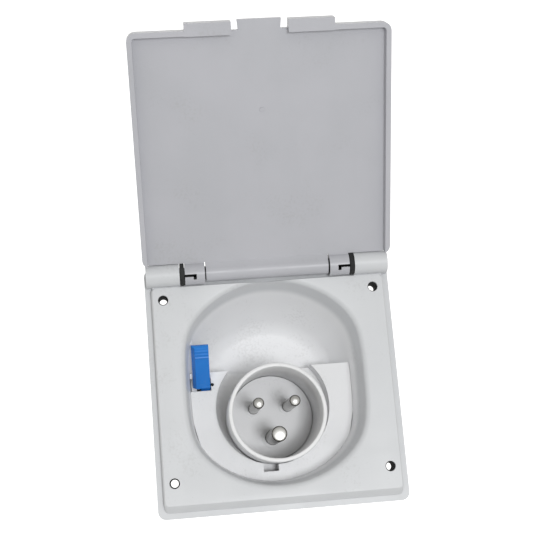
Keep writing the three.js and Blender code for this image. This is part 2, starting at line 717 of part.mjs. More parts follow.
/** The screw that clamps the wire in one contact. */
function terminalScrew(entry) {
  const barrelRadius = entry.radius + barrel.extraRadius;
  const headStart = barrelRadius + 0.2;
  const shank = clampRod(entry, clampScrew.radius, barrel.wireRadius + 0.2, headStart + 0.5);
  const headEnd = headStart + clampScrew.headHeight;
  const head = clampRod(entry, clampScrew.headRadius, headStart, headEnd, smallSteps);
  return piece(`terminal_screw_${entry.name}`, join(shank, head), looks.steel);
}

// ---------------------------------------------------------------- rear cover and gland

/** The cup that closes the terminals, with four screw lugs and the gland hole. */
function rearCover() {
  const { radius, wall, round } = cover;
  const cup = turnedY([
    [0, coverFrontY],
    [radius, coverFrontY],
    [radius, coverRearY - round],
    [radius - round * 0.3, coverRearY - round * 0.3],
    [radius - round, coverRearY],
    [0, coverRearY],
  ], 0, tube.centreZ, roundSteps);
  const lugs = coverBossPlaces.flatMap(([x, z]) => {
    const end = coverFrontY + cover.lugThickness;
    return [rodY(cover.lugRadius, coverFrontY, end, x, z), lugArm(x, z, coverFrontY, end)];
  });
  const inside = rodY(radius - wall, coverFrontY - 1, coverRearY - wall, 0, tube.centreZ, roundSteps);
  const holeRadius = gland.threadRadius + seatGap;
  const glandHole = rodY(holeRadius, coverRearY - 2 * wall, coverRearY + 1, 0, tube.centreZ, 32);
  const screwHoles = coverBossPlaces.map(([x, z]) => {
    return rodY(coverScrew.radius + screwGap, coverFrontY - 1, coverRearY, x, z);
  });
  return piece('rear_cover', cut(join(cup, lugs), inside, glandHole, screwHoles), looks.cover);
}

/** The ring that seals the rear cover. */
function coverSealRing() {
  const start = floorRearY + coverSeal.squeeze;
  const end = start + coverSeal.thickness;
  const ring = ringY(cover.radius - cover.wall, cover.radius, start, end, 0, tube.centreZ);
  return piece('rear_cover_seal', ring, looks.rubber);
}

/** The four screws of the rear cover. */
function coverScrews() {
  return coverBossPlaces.map(([x, z], i) => {
    const seat = coverFrontY + cover.lugThickness + 0.1;
    const shank = rodY(coverScrew.radius, floorRearY - coverScrew.bite, seat + 0.5, x, z);
    return piece(`rear_cover_screw_${i + 1}`, join(shank, panHead(seat, x, z, coverScrew)), looks.steel);
  });
}

/** Body, lock nut, seal and clamping nut of the cable gland. */
function glandPieces() {
  const hexStart = coverRearY + seatGap;
  const hexEnd = hexStart + gland.flangeLength;
  const noseEnd = hexEnd + glandSeal.length;
  const nutHexStart = coverRearY - cover.wall - seatGap - lockNut.thickness;
  const thread = rodY(gland.threadRadius, nutHexStart - 0.5, hexStart + 1, 0, tube.centreZ, 32);
  const nose = rodY(gland.noseRadius, hexEnd - 1, noseEnd, 0, tube.centreZ, 32);
  const bore = rodY(gland.boreRadius, nutHexStart - 2, noseEnd + 1, 0, tube.centreZ, 24);
  const seat = rodY(gland.noseRadius - 1.5, hexEnd + 1, noseEnd + 1, 0, tube.centreZ, 32);
  const hex = hexY(gland.acrossFlats, hexStart, hexEnd, 0, tube.centreZ);
  const body = cut(join(thread, hex, nose), bore, seat);

  const nutEnd = nutHexStart + lockNut.thickness;
  const nutHex = hexY(gland.acrossFlats, nutHexStart, nutEnd, 0, tube.centreZ);
  const nut = cut(nutHex, rodY(gland.threadRadius + 0.2, nutHexStart - 1, nutEnd + 1, 0, tube.centreZ, 32));

  const sealRadius = gland.noseRadius - 1.5 - seatGap;
  const sleeve = ringY(glandSeal.boreRadius, sealRadius, hexEnd + 1.3, noseEnd + 1, 0, tube.centreZ, 32);

  const domeStart = hexEnd + seatGap;
  const domeEnd = domeStart + glandNut.length;
  const domeRadius = gland.noseRadius + glandNut.wall;
  const dome = turnedY([
    [0, domeStart + 5],
    [domeRadius, domeStart + 5],
    [domeRadius - 1, domeEnd - 2],
    [domeRadius - 3.5, domeEnd],
    [0, domeEnd],
  ], 0, tube.centreZ, 32);
  const domeHex = hexY(gland.acrossFlats, domeStart, domeStart + 6, 0, tube.centreZ);
  const domeRoom = rodY(gland.noseRadius + 0.3, domeStart - 1, noseEnd + 1.3, 0, tube.centreZ, 32);
  const mouth = rodY(glandNut.mouthRadius, domeStart, domeEnd + 1, 0, tube.centreZ, 24);
  return [
    piece('gland_body', body, looks.gland),
    piece('gland_lock_nut', nut, looks.gland),
    piece('gland_seal', sleeve, looks.rubber),
    piece('gland_nut', cut(join(dome, domeHex), domeRoom, mouth), looks.gland),
  ];
}

// ---------------------------------------------------------------- lid and hinge

/** The tray of the lid, closed, about the hinge axis: skin, rim and tabs. */
function lidTray() {
  const halfX = flange.width / 2;
  const innerY = faceY - lid.faceGap - hingeY;
  const outerY = innerY - lid.skin;
  const rimY = ledgeY - lid.faceGap - hingeY;
  const endZ = -lidLength;
  const section = (y, inset) => {
    return { y, points: roundedRect(-halfX + inset, halfX - inset, endZ + inset, -lid.start, lid.corner) };
  };
  const outside = loftY([
    section(outerY, 1),
    section(outerY + 0.35, 0.35),
    section(outerY + 1, 0),
    section(rimY, 0),
  ]);
  const inner = halfX - lid.rim;
  const trayOutline = roundedRect(-inner, inner, endZ + lid.rim, lidLength, lid.corner - lid.rim);
  const tray = prismY(trayOutline, innerY, rimY + 1);

  const tabs = [-1, 1].map((side) => {
    const [near, far] = [side * lidTab.inner, side * lidTab.outer].sort((a, b) => a - b);
    return box(near, far, outerY + lidTab.setBack, rimY, endZ - lidTab.reach, endZ + lidTab.root);
  });
  const { halfWidth, reach, notch, slant } = lidTongue;
  const tongueY = outerY + lidTab.setBack;
  const tongue = box(-halfWidth, halfWidth, tongueY, innerY, endZ - reach, endZ + lidTab.root);
  const tongueRoom = box(-lidTab.inner, lidTab.inner, innerY, rimY + 1, endZ - reach - 1, endZ + lid.rim);
  const notches = [-1, 1].map((side) => {
    const foot = endZ + notch;
    const tip = endZ - reach - 1;
    const corners = [
      [side * (halfWidth - slant), foot],
      [side * lidTab.inner, foot],
      [side * lidTab.inner, tip],
      [side * halfWidth, tip],
    ];
    return prismY(corners, outerY - 1, rimY + 1);
  });
  return join(cut(join(cut(outside, tray), tabs), tongueRoom, notches), cut(tongue, notches));
}

/** The barrel, the two split knuckles and the web that carries them. */
function lidBarrel() {
  const { radius, barrelRadius, groove, grooveRadius } = knuckle;
  const inner = knuckleInnerX;
  const innerY = faceY - lid.faceGap - hingeY;
  const outerY = innerY - lid.skin;
  const core = rodX(grooveRadius, -inner - 1, inner + 1, 0, 0, 24);
  const barrelRod = rodX(barrelRadius, -inner + groove, inner - groove, 0, 0, 28);
  const web = prismX([
    [outerY, -lid.start - 2],
    [innerY, -lid.start - 2],
    [innerY, -radius - 0.3],
    [barrelRadius * 0.85, -barrelRadius * 0.5],
    [0, 0],
    [-barrelRadius * 0.9, -barrelRadius * 0.4],
  ], -inner + groove, inner - groove);
  const parts = [core, barrelRod, web];
  for (const side of [-1, 1]) {
    const [near, far] = [side * inner, side * knuckleOuterX].sort((a, b) => a - b);
    parts.push(rodX(radius, near, far, 0, 0, 28));
    parts.push(box(near, far, outerY, innerY, -lid.start - 2, 0));
  }
  return join(parts);
}

/** The slit that splits one knuckle, with a notch turned to one side at its end. */
function splitCut(side) {
  const { length, height, endWidth, endDrop, angle } = knuckleSlit;
  const make = (near, far, drop) => {
    const [x0, x1] = [side * near, side * far].sort((a, b) => a - b);
    const geometry = new THREE.BoxGeometry(x1 - x0, knuckle.radius + 1, height + drop);
    geometry.translate((x0 + x1) / 2, (knuckle.radius + 1) / 2, drop / 2);
    geometry.rotateX(THREE.MathUtils.degToRad(angle));
    return solid(geometry);
  };
  const end = knuckleOuterX - length;
  return join(make(end, knuckleOuterX + 1, 0), make(end - endWidth, end, endDrop));
}

/** The lid on its hinge axis, turned to the open stop. */
function lidGroup() {
  const innerY = faceY - lid.faceGap - hingeY;
  const bores = [-1, 1].map((side) => {
    const [x0, x1] = [side * (knuckleInnerX + 0.8), side * (knuckleOuterX + 1)].sort((a, b) => a - b);
    return rodX(hinge.pinRadius + runGap, x0, x1, 0, 0);
  });
  const mark = rodY(gateMark.radius, innerY - 0.5, innerY + gateMark.height, 0, -gateMark.distance, 12);
  const shape = cut(join(lidTray(), lidBarrel(), mark), bores, splitCut(-1), splitCut(1));
  const group = new THREE.Group();
  group.add(piece('lid', shape, looks.lid));
  group.position.set(0, hingeY, hingeZ);
  group.rotation.x = -THREE.MathUtils.degToRad(lid.openAngle);
  return group;
}

/** The two hinge pins, pressed in the frame's lugs. */
function hingePins() {
  return [['left', -1], ['right', 1]].map(([name, side]) => {
    const ends = [side * (knuckleInnerX + 1.1), side * (lugOuterX - 0.2)];
    const [x0, x1] = ends.sort((a, b) => a - b);
    return piece(`hinge_pin_${name}`, rodX(hinge.pinRadius, x0, x1, hingeY, hingeZ), looks.steel);
  });
}

// ---------------------------------------------------------------- release lever

/** The [y, z] place of a point on the paddle: u runs up it and v from its back to its front. */
function leverPoint(u, v) {
  const turn = THREE.MathUtils.degToRad(lever.tilt);
  const up = new THREE.Vector2(-Math.sin(turn), Math.cos(turn));
  const out = new THREE.Vector2(-Math.cos(turn), -Math.sin(turn));
  const foot = new THREE.Vector2(leverFootY, lever.footZ);
  const point = foot.addScaledVector(up, u).addScaledVector(out, v - lever.thickness);
  return [point.x, point.y];
}

/** The room that the paddle sweeps as it is pressed, with a gap all round it. */
function leverRoom() {
  const { angle, gap, steps } = leverTravel;
  const half = lever.width / 2 + gap;
  const hub = new THREE.Vector2(leverHubY, leverHub.z);
  const outline = [[0, 0], [1, 0], [1, 1], [0, 1]].map(([u, v]) => {
    const [y, z] = leverPoint(u ? lever.length + gap : 0, v ? lever.thickness : -gap);
    return new THREE.Vector2(y, z);
  });
  const rooms = [];
  for (let i = 0; i <= steps; i += 1) {
    const turn = -THREE.MathUtils.degToRad(angle * i / steps);
    const corners = outline.map((point) => point.clone().rotateAround(hub, turn).toArray());
    rooms.push(prismX(corners, lever.x - half, lever.x + half));
  }
  return join(rooms);
}

/** The lever's paddle with its bevelled tip and grip ridges. */
function leverPaddle() {
  const at = leverPoint;
  const front = [at(0, lever.thickness), at(0, 0), at(lever.length - 0.8, 0), at(lever.length, 0.8)];
  const ridges = [at(lever.length, lever.thickness - 0.8), at(lever.length - 0.8, lever.thickness)];
  for (let i = 0; i < leverGrip.count; i += 1) {
    const top = lever.length - leverGrip.start - i * leverGrip.pitch;
    ridges.push(at(top, lever.thickness));
    ridges.push(at(top - leverGrip.pitch * 0.35, lever.thickness + leverGrip.height));
    ridges.push(at(top - leverGrip.pitch * 0.7, lever.thickness));
  }
  return prismX([...front, ...ridges], lever.x - lever.width / 2, lever.x + lever.width / 2);
}

/** The blue release lever: paddle, neck through the slot, and hub on the pivot pin. */
function releaseLever() {
  const hubY = leverHubY;
  const hubX = lever.x + leverHub.offset;
  const [x0, x1] = [hubX - leverHub.width / 2, hubX + leverHub.width / 2];
  const neckTop = lever.footZ + lever.thickness + 1;
  const neck = prismX([
    [leverFootY - 1, lever.footZ + 1],
    [hubY - 0.5, lever.footZ + 0.3],
    [hubY + 0.5, leverHub.z + leverHub.radius * 0.9],
    [leverFootY - 2, neckTop + 0.4],
  ], x0, x1);
  const hub = rodX(leverHub.radius, x0, x1, hubY, leverHub.z, 24);
  const bore = rodX(pivot.radius + runGap, x0 - 1, x1 + 1, hubY, leverHub.z);
  return piece('release_lever', cut(join(leverPaddle(), neck, hub), bore), looks.lever);
}

/** The steel pin that the lever turns on. */
function leverPivotPin() {
  const [left, right] = [lever.x - pivot.left, lever.x + pivot.right];
  const pin = rodX(pivot.radius, left, right, leverHubY, leverHub.z);
  return piece('lever_pivot_pin', pin, looks.steel);
}

/** The torsion spring on the pivot pin: a coil with one leg at each end. */
function leverSpring() {
  const centre = new THREE.Vector3(lever.x + spring.offset, leverHubY, leverHub.z);
  const points = [];
  const stepsPerTurn = 14;
  const steps = spring.turns * stepsPerTurn;
  for (let i = 0; i <= steps; i += 1) {
    const angle = i / stepsPerTurn * 2 * Math.PI;
    const offset = new THREE.Vector3(i / stepsPerTurn * spring.pitch, Math.cos(angle), Math.sin(angle));
    offset.y *= spring.coilRadius;
    offset.z *= spring.coilRadius;
    points.push(centre.clone().add(offset));
  }
  const first = points[0].clone().add(new THREE.Vector3(0, 0, -spring.leg));
  const last = points.at(-1).clone().add(new THREE.Vector3(0, 0, spring.leg * 0.6));
  const path = new THREE.CatmullRomCurve3([first, ...points, last]);
  const section = new THREE.Shape();
  section.absarc(0, 0, spring.wire, 0, 2 * Math.PI);
  const settings = { steps, bevelEnabled: false, extrudePath: path, curveSegments: 3 };
  return piece('lever_spring', solid(new THREE.ExtrudeGeometry(section, settings)), looks.steel);
}

// ---------------------------------------------------------------- assembly

const assembly = new THREE.Group();
assembly.add(frontFrame(), wallGasket());
assembly.add(inletBody(), bodySealRing(), ...bodyScrews());
assembly.add(contactCarrier(), carrierSeal(), ...carrierScrews());
assembly.add(...contacts.map(contactPin), ...contacts.map(terminalScrew));
assembly.add(rearCover(), coverSealRing(), ...coverScrews(), ...glandPieces());
assembly.add(lidGroup(), ...hingePins());
assembly.add(releaseLever(), leverPivotPin(), leverSpring());

export default assembly;
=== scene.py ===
"""Studio scene of a flush wall power inlet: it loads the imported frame, dresses every piece and lights it."""

from __future__ import annotations

import json
import logging
import math
from dataclasses import dataclass, field
from enum import Enum
from typing import Any, Callable, Sequence

import bmesh
import bpy
from mathutils import Matrix, Vector

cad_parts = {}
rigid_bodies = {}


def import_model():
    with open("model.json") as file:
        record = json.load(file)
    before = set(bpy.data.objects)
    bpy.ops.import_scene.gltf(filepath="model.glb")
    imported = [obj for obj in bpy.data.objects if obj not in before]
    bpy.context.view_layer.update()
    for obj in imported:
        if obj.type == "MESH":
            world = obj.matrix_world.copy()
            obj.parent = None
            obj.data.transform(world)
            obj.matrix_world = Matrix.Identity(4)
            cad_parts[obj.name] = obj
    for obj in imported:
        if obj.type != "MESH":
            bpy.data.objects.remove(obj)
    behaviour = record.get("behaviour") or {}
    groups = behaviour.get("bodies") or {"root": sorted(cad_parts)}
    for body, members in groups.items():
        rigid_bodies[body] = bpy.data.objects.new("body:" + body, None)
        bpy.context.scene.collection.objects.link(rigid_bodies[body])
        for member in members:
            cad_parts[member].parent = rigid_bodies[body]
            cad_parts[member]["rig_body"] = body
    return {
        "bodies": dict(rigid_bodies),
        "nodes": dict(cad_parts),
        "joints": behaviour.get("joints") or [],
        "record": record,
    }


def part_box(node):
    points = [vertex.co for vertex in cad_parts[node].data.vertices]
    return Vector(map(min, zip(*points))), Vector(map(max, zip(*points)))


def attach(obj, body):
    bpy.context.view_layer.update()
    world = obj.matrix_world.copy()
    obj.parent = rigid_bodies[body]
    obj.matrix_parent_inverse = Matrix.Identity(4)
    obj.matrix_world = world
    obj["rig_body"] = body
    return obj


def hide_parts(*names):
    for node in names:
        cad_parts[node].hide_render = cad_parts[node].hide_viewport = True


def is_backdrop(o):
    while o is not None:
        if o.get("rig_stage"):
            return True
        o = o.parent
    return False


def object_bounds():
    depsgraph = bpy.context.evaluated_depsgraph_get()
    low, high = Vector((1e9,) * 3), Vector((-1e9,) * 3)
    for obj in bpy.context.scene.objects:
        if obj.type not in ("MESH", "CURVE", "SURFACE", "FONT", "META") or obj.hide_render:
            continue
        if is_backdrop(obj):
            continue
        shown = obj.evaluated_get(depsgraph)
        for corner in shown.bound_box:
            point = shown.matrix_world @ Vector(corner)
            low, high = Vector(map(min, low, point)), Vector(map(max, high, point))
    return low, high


LOG = logging.getLogger("power_inlet")
MM = 0.001
SHARP = 32.0  # degrees from which an edge counts as sharp
TURN_STEPS = 48  # faces round a turned piece
TURN_WELD = 0.0005 * MM

HINGE_AXIS = (-10.5 * MM, 51.4 * MM)  # its y and z

Colour = tuple[float, float, float]


# ---------------------------------------------------------------- node trees


class Field:
    """One float or vector socket of a node tree, with the arithmetic operators that are used."""

    def __init__(self, tree: "Tree", socket: bpy.types.NodeSocket) -> None:
        """Wraps a socket of a tree."""
        self.tree = tree
        self.socket = socket

    def _math(self, operation: str, first: Any, second: Any) -> "Field":
        """Adds one Math node.

        Args:
            operation: the node's operation.
            first: the first value or field.
            second: the second value or field.

        Returns:
            The node's result.
        """
        return self.tree.add("ShaderNodeMath", {"operation": operation}, {0: first, 1: second})

    def __add__(self, other: Any) -> "Field":
        """Adds a value or field."""
        return self._math("ADD", self, other)

    def __radd__(self, other: Any) -> "Field":
        """Adds to a value."""
        return self._math("ADD", other, self)

    def __sub__(self, other: Any) -> "Field":
        """Subtracts a value or field."""
        return self._math("SUBTRACT", self, other)

    def __rsub__(self, other: Any) -> "Field":
        """Subtracts from a value."""
        return self._math("SUBTRACT", other, self)

    def __mul__(self, other: Any) -> "Field":
        """Multiplies by a value or field."""
        return self._math("MULTIPLY", self, other)

    def __rmul__(self, other: Any) -> "Field":
        """Multiplies a value."""
        return self._math("MULTIPLY", other, self)

    def __truediv__(self, other: Any) -> "Field":
        """Divides by a value or field."""
        return self._math("DIVIDE", self, other)

    def __pow__(self, other: Any) -> "Field":
        """Raises to a power."""
        return self._math("POWER", self, other)


class Tree:
    """A node tree under construction."""

    def __init__(self, tree: bpy.types.NodeTree) -> None:
        """Starts on an existing node tree."""
        self.tree = tree

    def add(self, kind: str, settings: dict[str, Any] | None = None,
            inputs: dict[int | str, Any] | None = None, output: int | str = 0) -> Field:
        """Adds one node.

        Args:
            kind: the node's type.
            settings: properties of the node, set before its sockets.
            inputs: values, sockets or fields by input name or number.
            output: the output to return.

        Returns:
            The chosen output as a field.
        """
        node = self.tree.nodes.new(kind)
        for key, value in (settings or {}).items():
            setattr(node, key, value)
        for key, value in (inputs or {}).items():
            self.feed(node.inputs[key], value)
        return Field(self, node.outputs[output])

    def feed(self, socket: bpy.types.NodeSocket, value: Any) -> None:
        """Links or sets one input.

        Args:
            socket: the input.
            value: a field, a socket or a plain value.
        """
        if isinstance(value, Field):
            self.tree.links.new(value.socket, socket)
        elif isinstance(value, bpy.types.NodeSocket):
            self.tree.links.new(value, socket)
        else:
            socket.default_value = value


class Shader(Tree):
    """A material's tree, with the textures that the finishes share."""

    def __init__(self, name: str) -> None:
        """Makes a material with a Principled shader."""
        self.material = bpy.data.materials.new(name)
        self.material.use_nodes = True
        super().__init__(self.material.node_tree)
        self.surface = self.tree.nodes["Principled BSDF"]
        self.place = self.add("ShaderNodeTexCoord", output="Object")

    def noise(self, scale: float, detail: float = 2.0, stretch: Sequence[float] = (1, 1, 1)) -> Field:
        """Noise on object coordinates.

        Args:
            scale: features to a metre.
            detail: octaves.
            stretch: a scale for each axis.

        Returns:
            The noise value, from 0 to 1.
        """
        mapped = self.add("ShaderNodeMapping", None, {"Vector": self.place, "Scale": tuple(stretch)})
        return self.add("ShaderNodeTexNoise", None, {"Vector": mapped, "Scale": scale, "Detail": detail})

    def step(self, value: Field, low: float, high: float, to_low: float = 0.0, to_high: float = 1.0) -> Field:
        """A smooth step from one value to another.

        Args:
            value: what is stepped.
            low: where the step starts.
            high: where the step ends.
            to_low: the result before the step.
            to_high: the result after it.

        Returns:
            The stepped value.
        """
        return self.add("ShaderNodeMapRange", {"interpolation_type": "SMOOTHSTEP"},
                        {"Value": value, "From Min": low, "From Max": high,
                         "To Min": to_low, "To Max": to_high})

    def mix(self, share: Any, first: Any, second: Any, blend: str = "MIX") -> Field:
        """Mixes two colours.

        Args:
            share: how much of the second one.
            first: a colour or field.
            second: a colour or field.
            blend: the blend type.

        Returns:
            The mixed colour.
        """
        node = self.tree.nodes.new("ShaderNodeMix")
        node.data_type, node.blend_type = "RGBA", blend
        for index, value in ((0, share), (6, first), (7, second)):
            self.feed(node.inputs[index], (*value, 1.0) if isinstance(value, tuple) else value)
        return Field(self, node.outputs[2])

    def bump(self, height: Field, distance: float, strength: float = 1.0,
             below: Field | None = None) -> Field:
        """Turns a height into a normal.

        Args:
            height: from 0 to 1.
            distance: metres for a height of 1.
            strength: the bump's strength.
            below: a normal to add to.

        Returns:
            The bumped normal.
        """
        inputs: dict[int | str, Any] = {"Height": height, "Distance": distance, "Strength": strength}
        if below is not None:
            inputs["Normal"] = below
        return self.add("ShaderNodeBump", None, inputs)

    def set(self, **sockets: Any) -> None:
        """Feeds sockets of the Principled shader, underscores standing for spaces."""
        for key, value in sockets.items():
            if isinstance(value, tuple) and len(value) == 3:
                value = (*value, 1.0)
            self.feed(self.surface.inputs[key.replace("_", " ")], value)


class Shape(Tree):
    """A geometry tree that grows one piece from a host mesh and named sizes in metres."""

    def __init__(self, name: str, sizes: dict[str, float]) -> None:
        """Makes the group with its inputs.

        Args:
            name: the group's name.
            sizes: the named sizes and their values.
        """
        group = bpy.data.node_groups.new(name, "GeometryNodeTree")
        super().__init__(group)
        group.interface.new_socket("Geometry", in_out="OUTPUT", socket_type="NodeSocketGeometry")
        group.interface.new_socket("Host", in_out="INPUT", socket_type="NodeSocketGeometry")
        group.interface.new_socket("Material", in_out="INPUT", socket_type="NodeSocketMaterial")
        for key in sizes:
            group.interface.new_socket(key, in_out="INPUT", socket_type="NodeSocketFloat")
        self.sizes = sizes
        self.given = group.nodes.new("NodeGroupInput")
        self.result = group.nodes.new("NodeGroupOutput")

    def size(self, name: str) -> Field:
        """Returns a named input as a field."""
        return Field(self, self.given.outputs[name])

    def sheet(self, across: int, along: int, place: Callable[[Field, Field], tuple[Any, Any, Any]]) -> Field:
        """A closed sheet whose points follow a rule.

        Args:
            across: faces round it.
            along: faces along it.
            place: gives x, y and z from the share of a turn and the share of the length.

        Returns:
            The sheet with its seam and poles merged.
        """
        grid = self.add("GeometryNodeMeshGrid", None,
                        {"Size X": 1.0, "Size Y": 1.0, "Vertices X": across + 1, "Vertices Y": along + 1})
        spot = self.add("GeometryNodeInputPosition")
        split = self.tree.nodes.new("ShaderNodeSeparateXYZ")
        self.feed(split.inputs[0], spot)
        turn, share = Field(self, split.outputs[0]) + 0.5, Field(self, split.outputs[1]) + 0.5
        x, y, z = place(turn, share)
        moved = self.add("ShaderNodeCombineXYZ", None, {0: x, 1: y, 2: z})
        bent = self.add("GeometryNodeSetPosition", None, {"Geometry": grid, "Position": moved})
        return self.add("GeometryNodeMergeByDistance", None, {"Geometry": bent, "Distance": 0.003 * MM})

    def join(self, *parts: Field) -> Field:
        """Joins geometries into one."""
        node = self.tree.nodes.new("GeometryNodeJoinGeometry")
        for part in parts:
            self.tree.links.new(part.socket, node.inputs[0])
        return Field(self, node.outputs[0])

    def on_host(self, part: Field) -> Field:
        """Puts a copy of a part on every host point."""
        points = self.add("GeometryNodeMeshToPoints", None, {"Mesh": self.size("Host")})
        return self.add("GeometryNodeInstanceOnPoints", None, {"Points": points, "Instance": part})

    def grow(self, name: str, host: bpy.types.Mesh, part: Field, finish: "Finish") -> bpy.types.Object:
        """Ends the tree, grows the piece and turns it into a plain mesh.

        Args:
            name: the piece's name.
            host: the mesh that it grows from.
            part: the geometry to keep.
            finish: its finish.

        Returns:
            The piece.
        """
        real = self.add("GeometryNodeRealizeInstances", None, {"Geometry": part})
        dressed = self.add("GeometryNodeSetMaterial", None,
                           {"Geometry": real, "Material": self.size("Material")})
        self.tree.links.new(dressed.socket, self.result.inputs[0])
        piece = add_object(name, host)
        modifier = piece.modifiers.new(name, "NODES")
        modifier.node_group = self.tree
        for item in self.tree.interface.items_tree:
            if item.in_out == "INPUT" and item.name in self.sizes:
                modifier[item.identifier] = float(self.sizes[item.name])
            elif item.in_out == "INPUT" and item.name == "Material":
                modifier[item.identifier] = finish.material()
        apply_modifiers(piece)
        outward(piece.data)
        smooth_by_angle(piece.data)
        return piece


# ---------------------------------------------------------------- finishes


@dataclass(frozen=True)
class MouldedPlastic:
    """Satin injection-moulded plastic with grain, flow marks, dirt and rubbed patches.

    It can carry painted light, lighter where it lies deep in the recess, and painted shade, black in the
    hinge's gaps.
    """

    name: str
    colour: Colour
    shadow: Colour
    roughness: float = 0.40
    grain: float = 0.012
    waviness: float = 0.05
    dirt: float = 0.12
    specular: float = 0.32
    painted_light_colour: Colour | None = None
    deep_from: float = 2.0
    deep_to: float = 12.0
    gap_radius: float = 0.0
    gap_from: float = 0.0
    gap_to: float = 0.0
    gap_shade_colour: Colour = (0.010, 0.010, 0.010)
    dirt_colour: Colour = (0.30, 0.29, 0.27)

    def hinge_gap_shade(self, sh: Shader) -> Field:
        """The mask of the painted shade that blackens the gaps between the hinge knuckles.

        Args:
            sh: the material's tree.

        Returns:
            1 inside the knuckle gaps and 0 elsewhere.
        """
        axis_y, axis_z = HINGE_AXIS
        from_axis = sh.add("ShaderNodeVectorMath", {"operation": "SUBTRACT"},
                           {0: sh.place, 1: (0.0, axis_y, axis_z)})
        flat = sh.add("ShaderNodeVectorMath", {"operation": "MULTIPLY"}, {0: from_axis, 1: (0.0, 1.0, 1.0)})
        radius = sh.add("ShaderNodeVectorMath", {"operation": "LENGTH"}, {0: flat}, "Value")
        along = sh.add("ShaderNodeSeparateXYZ", None, {"Vector": sh.place}, "X")
        aside = sh.add("ShaderNodeMath", {"operation": "ABSOLUTE"}, {0: along})
        deep = sh.step(radius, (self.gap_radius - 0.3) * MM, self.gap_radius * MM, 1.0, 0.0)
        start = sh.step(aside, (self.gap_from - 0.05) * MM, self.gap_from * MM)
        end = sh.step(aside, self.gap_to * MM, (self.gap_to + 0.05) * MM, 1.0, 0.0)
        return deep * start * end

    def build(self) -> bpy.types.Material:
        """Builds the material.

        Returns:
            The material.
        """
        sh = Shader(self.name)
        cloud = sh.noise(22.0, 3.0)
        flow = sh.noise(60.0, 4.0, (1.0, 1.0, 0.18))
        tone = sh.step(cloud * 0.6 + flow * 0.4, 0.34, 0.66)
        base = sh.mix(tone, self.colour, self.shadow)
        # Painted light: deeper in the recess the plastic turns lighter, standing for the light gathered there.
        if self.painted_light_colour:
            depth = sh.add("ShaderNodeSeparateXYZ", None, {"Vector": sh.place}, "Y")
            base = sh.mix(sh.step(depth, self.deep_from * MM, self.deep_to * MM), base, self.painted_light_colour)
        grime = sh.step(sh.noise(900.0, 5.0) * sh.noise(45.0, 2.0), 0.30, 0.44) * self.dirt
        speck = sh.add("ShaderNodeTexVoronoi", {"feature": "F1"},
                       {"Vector": sh.place, "Scale": 260.0, "Randomness": 1.0}, "Distance")
        dust = sh.step(speck, 0.05, 0.09, 1.0, 0.0) * sh.step(sh.noise(70.0, 1.0), 0.55, 0.62) * self.dirt
        colour = sh.mix(grime + dust, base, self.dirt_colour)
        # Painted shade: black in the gaps between the hinge knuckles and the lugs.
        if self.gap_radius:
            colour = sh.mix(self.hinge_gap_shade(sh), colour, self.gap_shade_colour)
        rubbed = sh.step(sh.noise(38.0, 4.0, (1.0, 1.0, 2.5)), 0.45, 0.75)
        rough = self.roughness + rubbed * 0.10 + flow * 0.06 - 0.05
        wave = sh.bump(sh.noise(85.0, 1.0), self.waviness * MM)
        fine = sh.bump(sh.noise(4200.0, 2.0), self.grain * MM, 1.0, wave)
        sh.set(Base_Color=colour, Roughness=rough, Normal=fine, Specular_IOR_Level=self.specular, IOR=1.5)
        return sh.material


@dataclass(frozen=True)
class PlatedMetal:
    """Plated metal with fine turning marks, small dents and dull patches."""

    name: str
    colour: Colour
    tarnish: Colour
    roughness: float = 0.22
    lines: float = 0.004
    spots: float = 0.25
    turned_along: int = 1

    def build(self) -> bpy.types.Material:
        """Builds the material.

        Returns:
            The material.
        """
        sh = Shader(self.name)
        stretch = [1.0, 1.0, 1.0]
        stretch[self.turned_along] = 14.0
        rings = sh.noise(420.0, 2.0, stretch)
        patch = sh.step(sh.noise(240.0, 4.0), 0.48, 0.70)
        colour = sh.mix(patch * self.spots, self.colour, self.tarnish)
        rough = self.roughness + patch * 0.16 + rings * 0.10 - 0.05
        marks = sh.bump(rings, self.lines * MM)
        dents = sh.bump(sh.noise(1500.0, 2.0), 0.002 * MM, 0.7, marks)
        sh.set(Base_Color=colour, Metallic=1.0, Roughness=rough, Normal=dents)
        return sh.material


@dataclass(frozen=True)
class TurnedPin:
    """Plated contact metal with a painted highlight on the flat tip that faces the front and painted shade,
    dark, round the sides.
    """

    name: str
    bright: Colour
    side: Colour
    roughness: float = 0.18

    def build(self) -> bpy.types.Material:
        """Builds the material.

        Returns:
            The material.
        """
        sh = Shader(self.name)
        # Painted highlight and shade: bright where the surface faces the front, along -Y, and dark on the
        # sides.
        normal = sh.add("ShaderNodeTexCoord", output="Normal")
        facing = sh.add("ShaderNodeSeparateXYZ", None, {"Vector": normal}, "Y")
        tip = sh.step(facing * -1.0, 0.72, 0.97)
        rings = sh.noise(700.0, 2.0, (1.0, 10.0, 1.0))
        patch = sh.step(sh.noise(500.0, 3.0), 0.5, 0.72)
        side = sh.mix(patch * 0.4 + rings * 0.2, self.side, self.bright)
        marks = sh.bump(rings, 0.004 * MM)
        sh.set(Base_Color=sh.mix(tip, side, self.bright), Metallic=1.0,
               Roughness=self.roughness + patch * 0.12 + tip * 0.14, Normal=marks)
        return sh.material


@dataclass(frozen=True)
class SoftRubber:
    """Matt moulded rubber with a fine skin and pale dust."""

    name: str
    colour: Colour
    dust: Colour = (0.16, 0.16, 0.155)
    roughness: float = 0.78

    def build(self) -> bpy.types.Material:
        """Builds the material.

        Returns:
            The material.
        """
        sh = Shader(self.name)
        film = sh.step(sh.noise(120.0, 5.0), 0.40, 0.80) * 0.16
        colour = sh.mix(film, self.colour, self.dust)
        rough = self.roughness + sh.noise(300.0, 2.0) * 0.12
        skin = sh.bump(sh.noise(2600.0, 3.0), 0.03 * MM)
        sh.set(Base_Color=colour, Roughness=rough, Normal=skin, Specular_IOR_Level=0.4)
        return sh.material


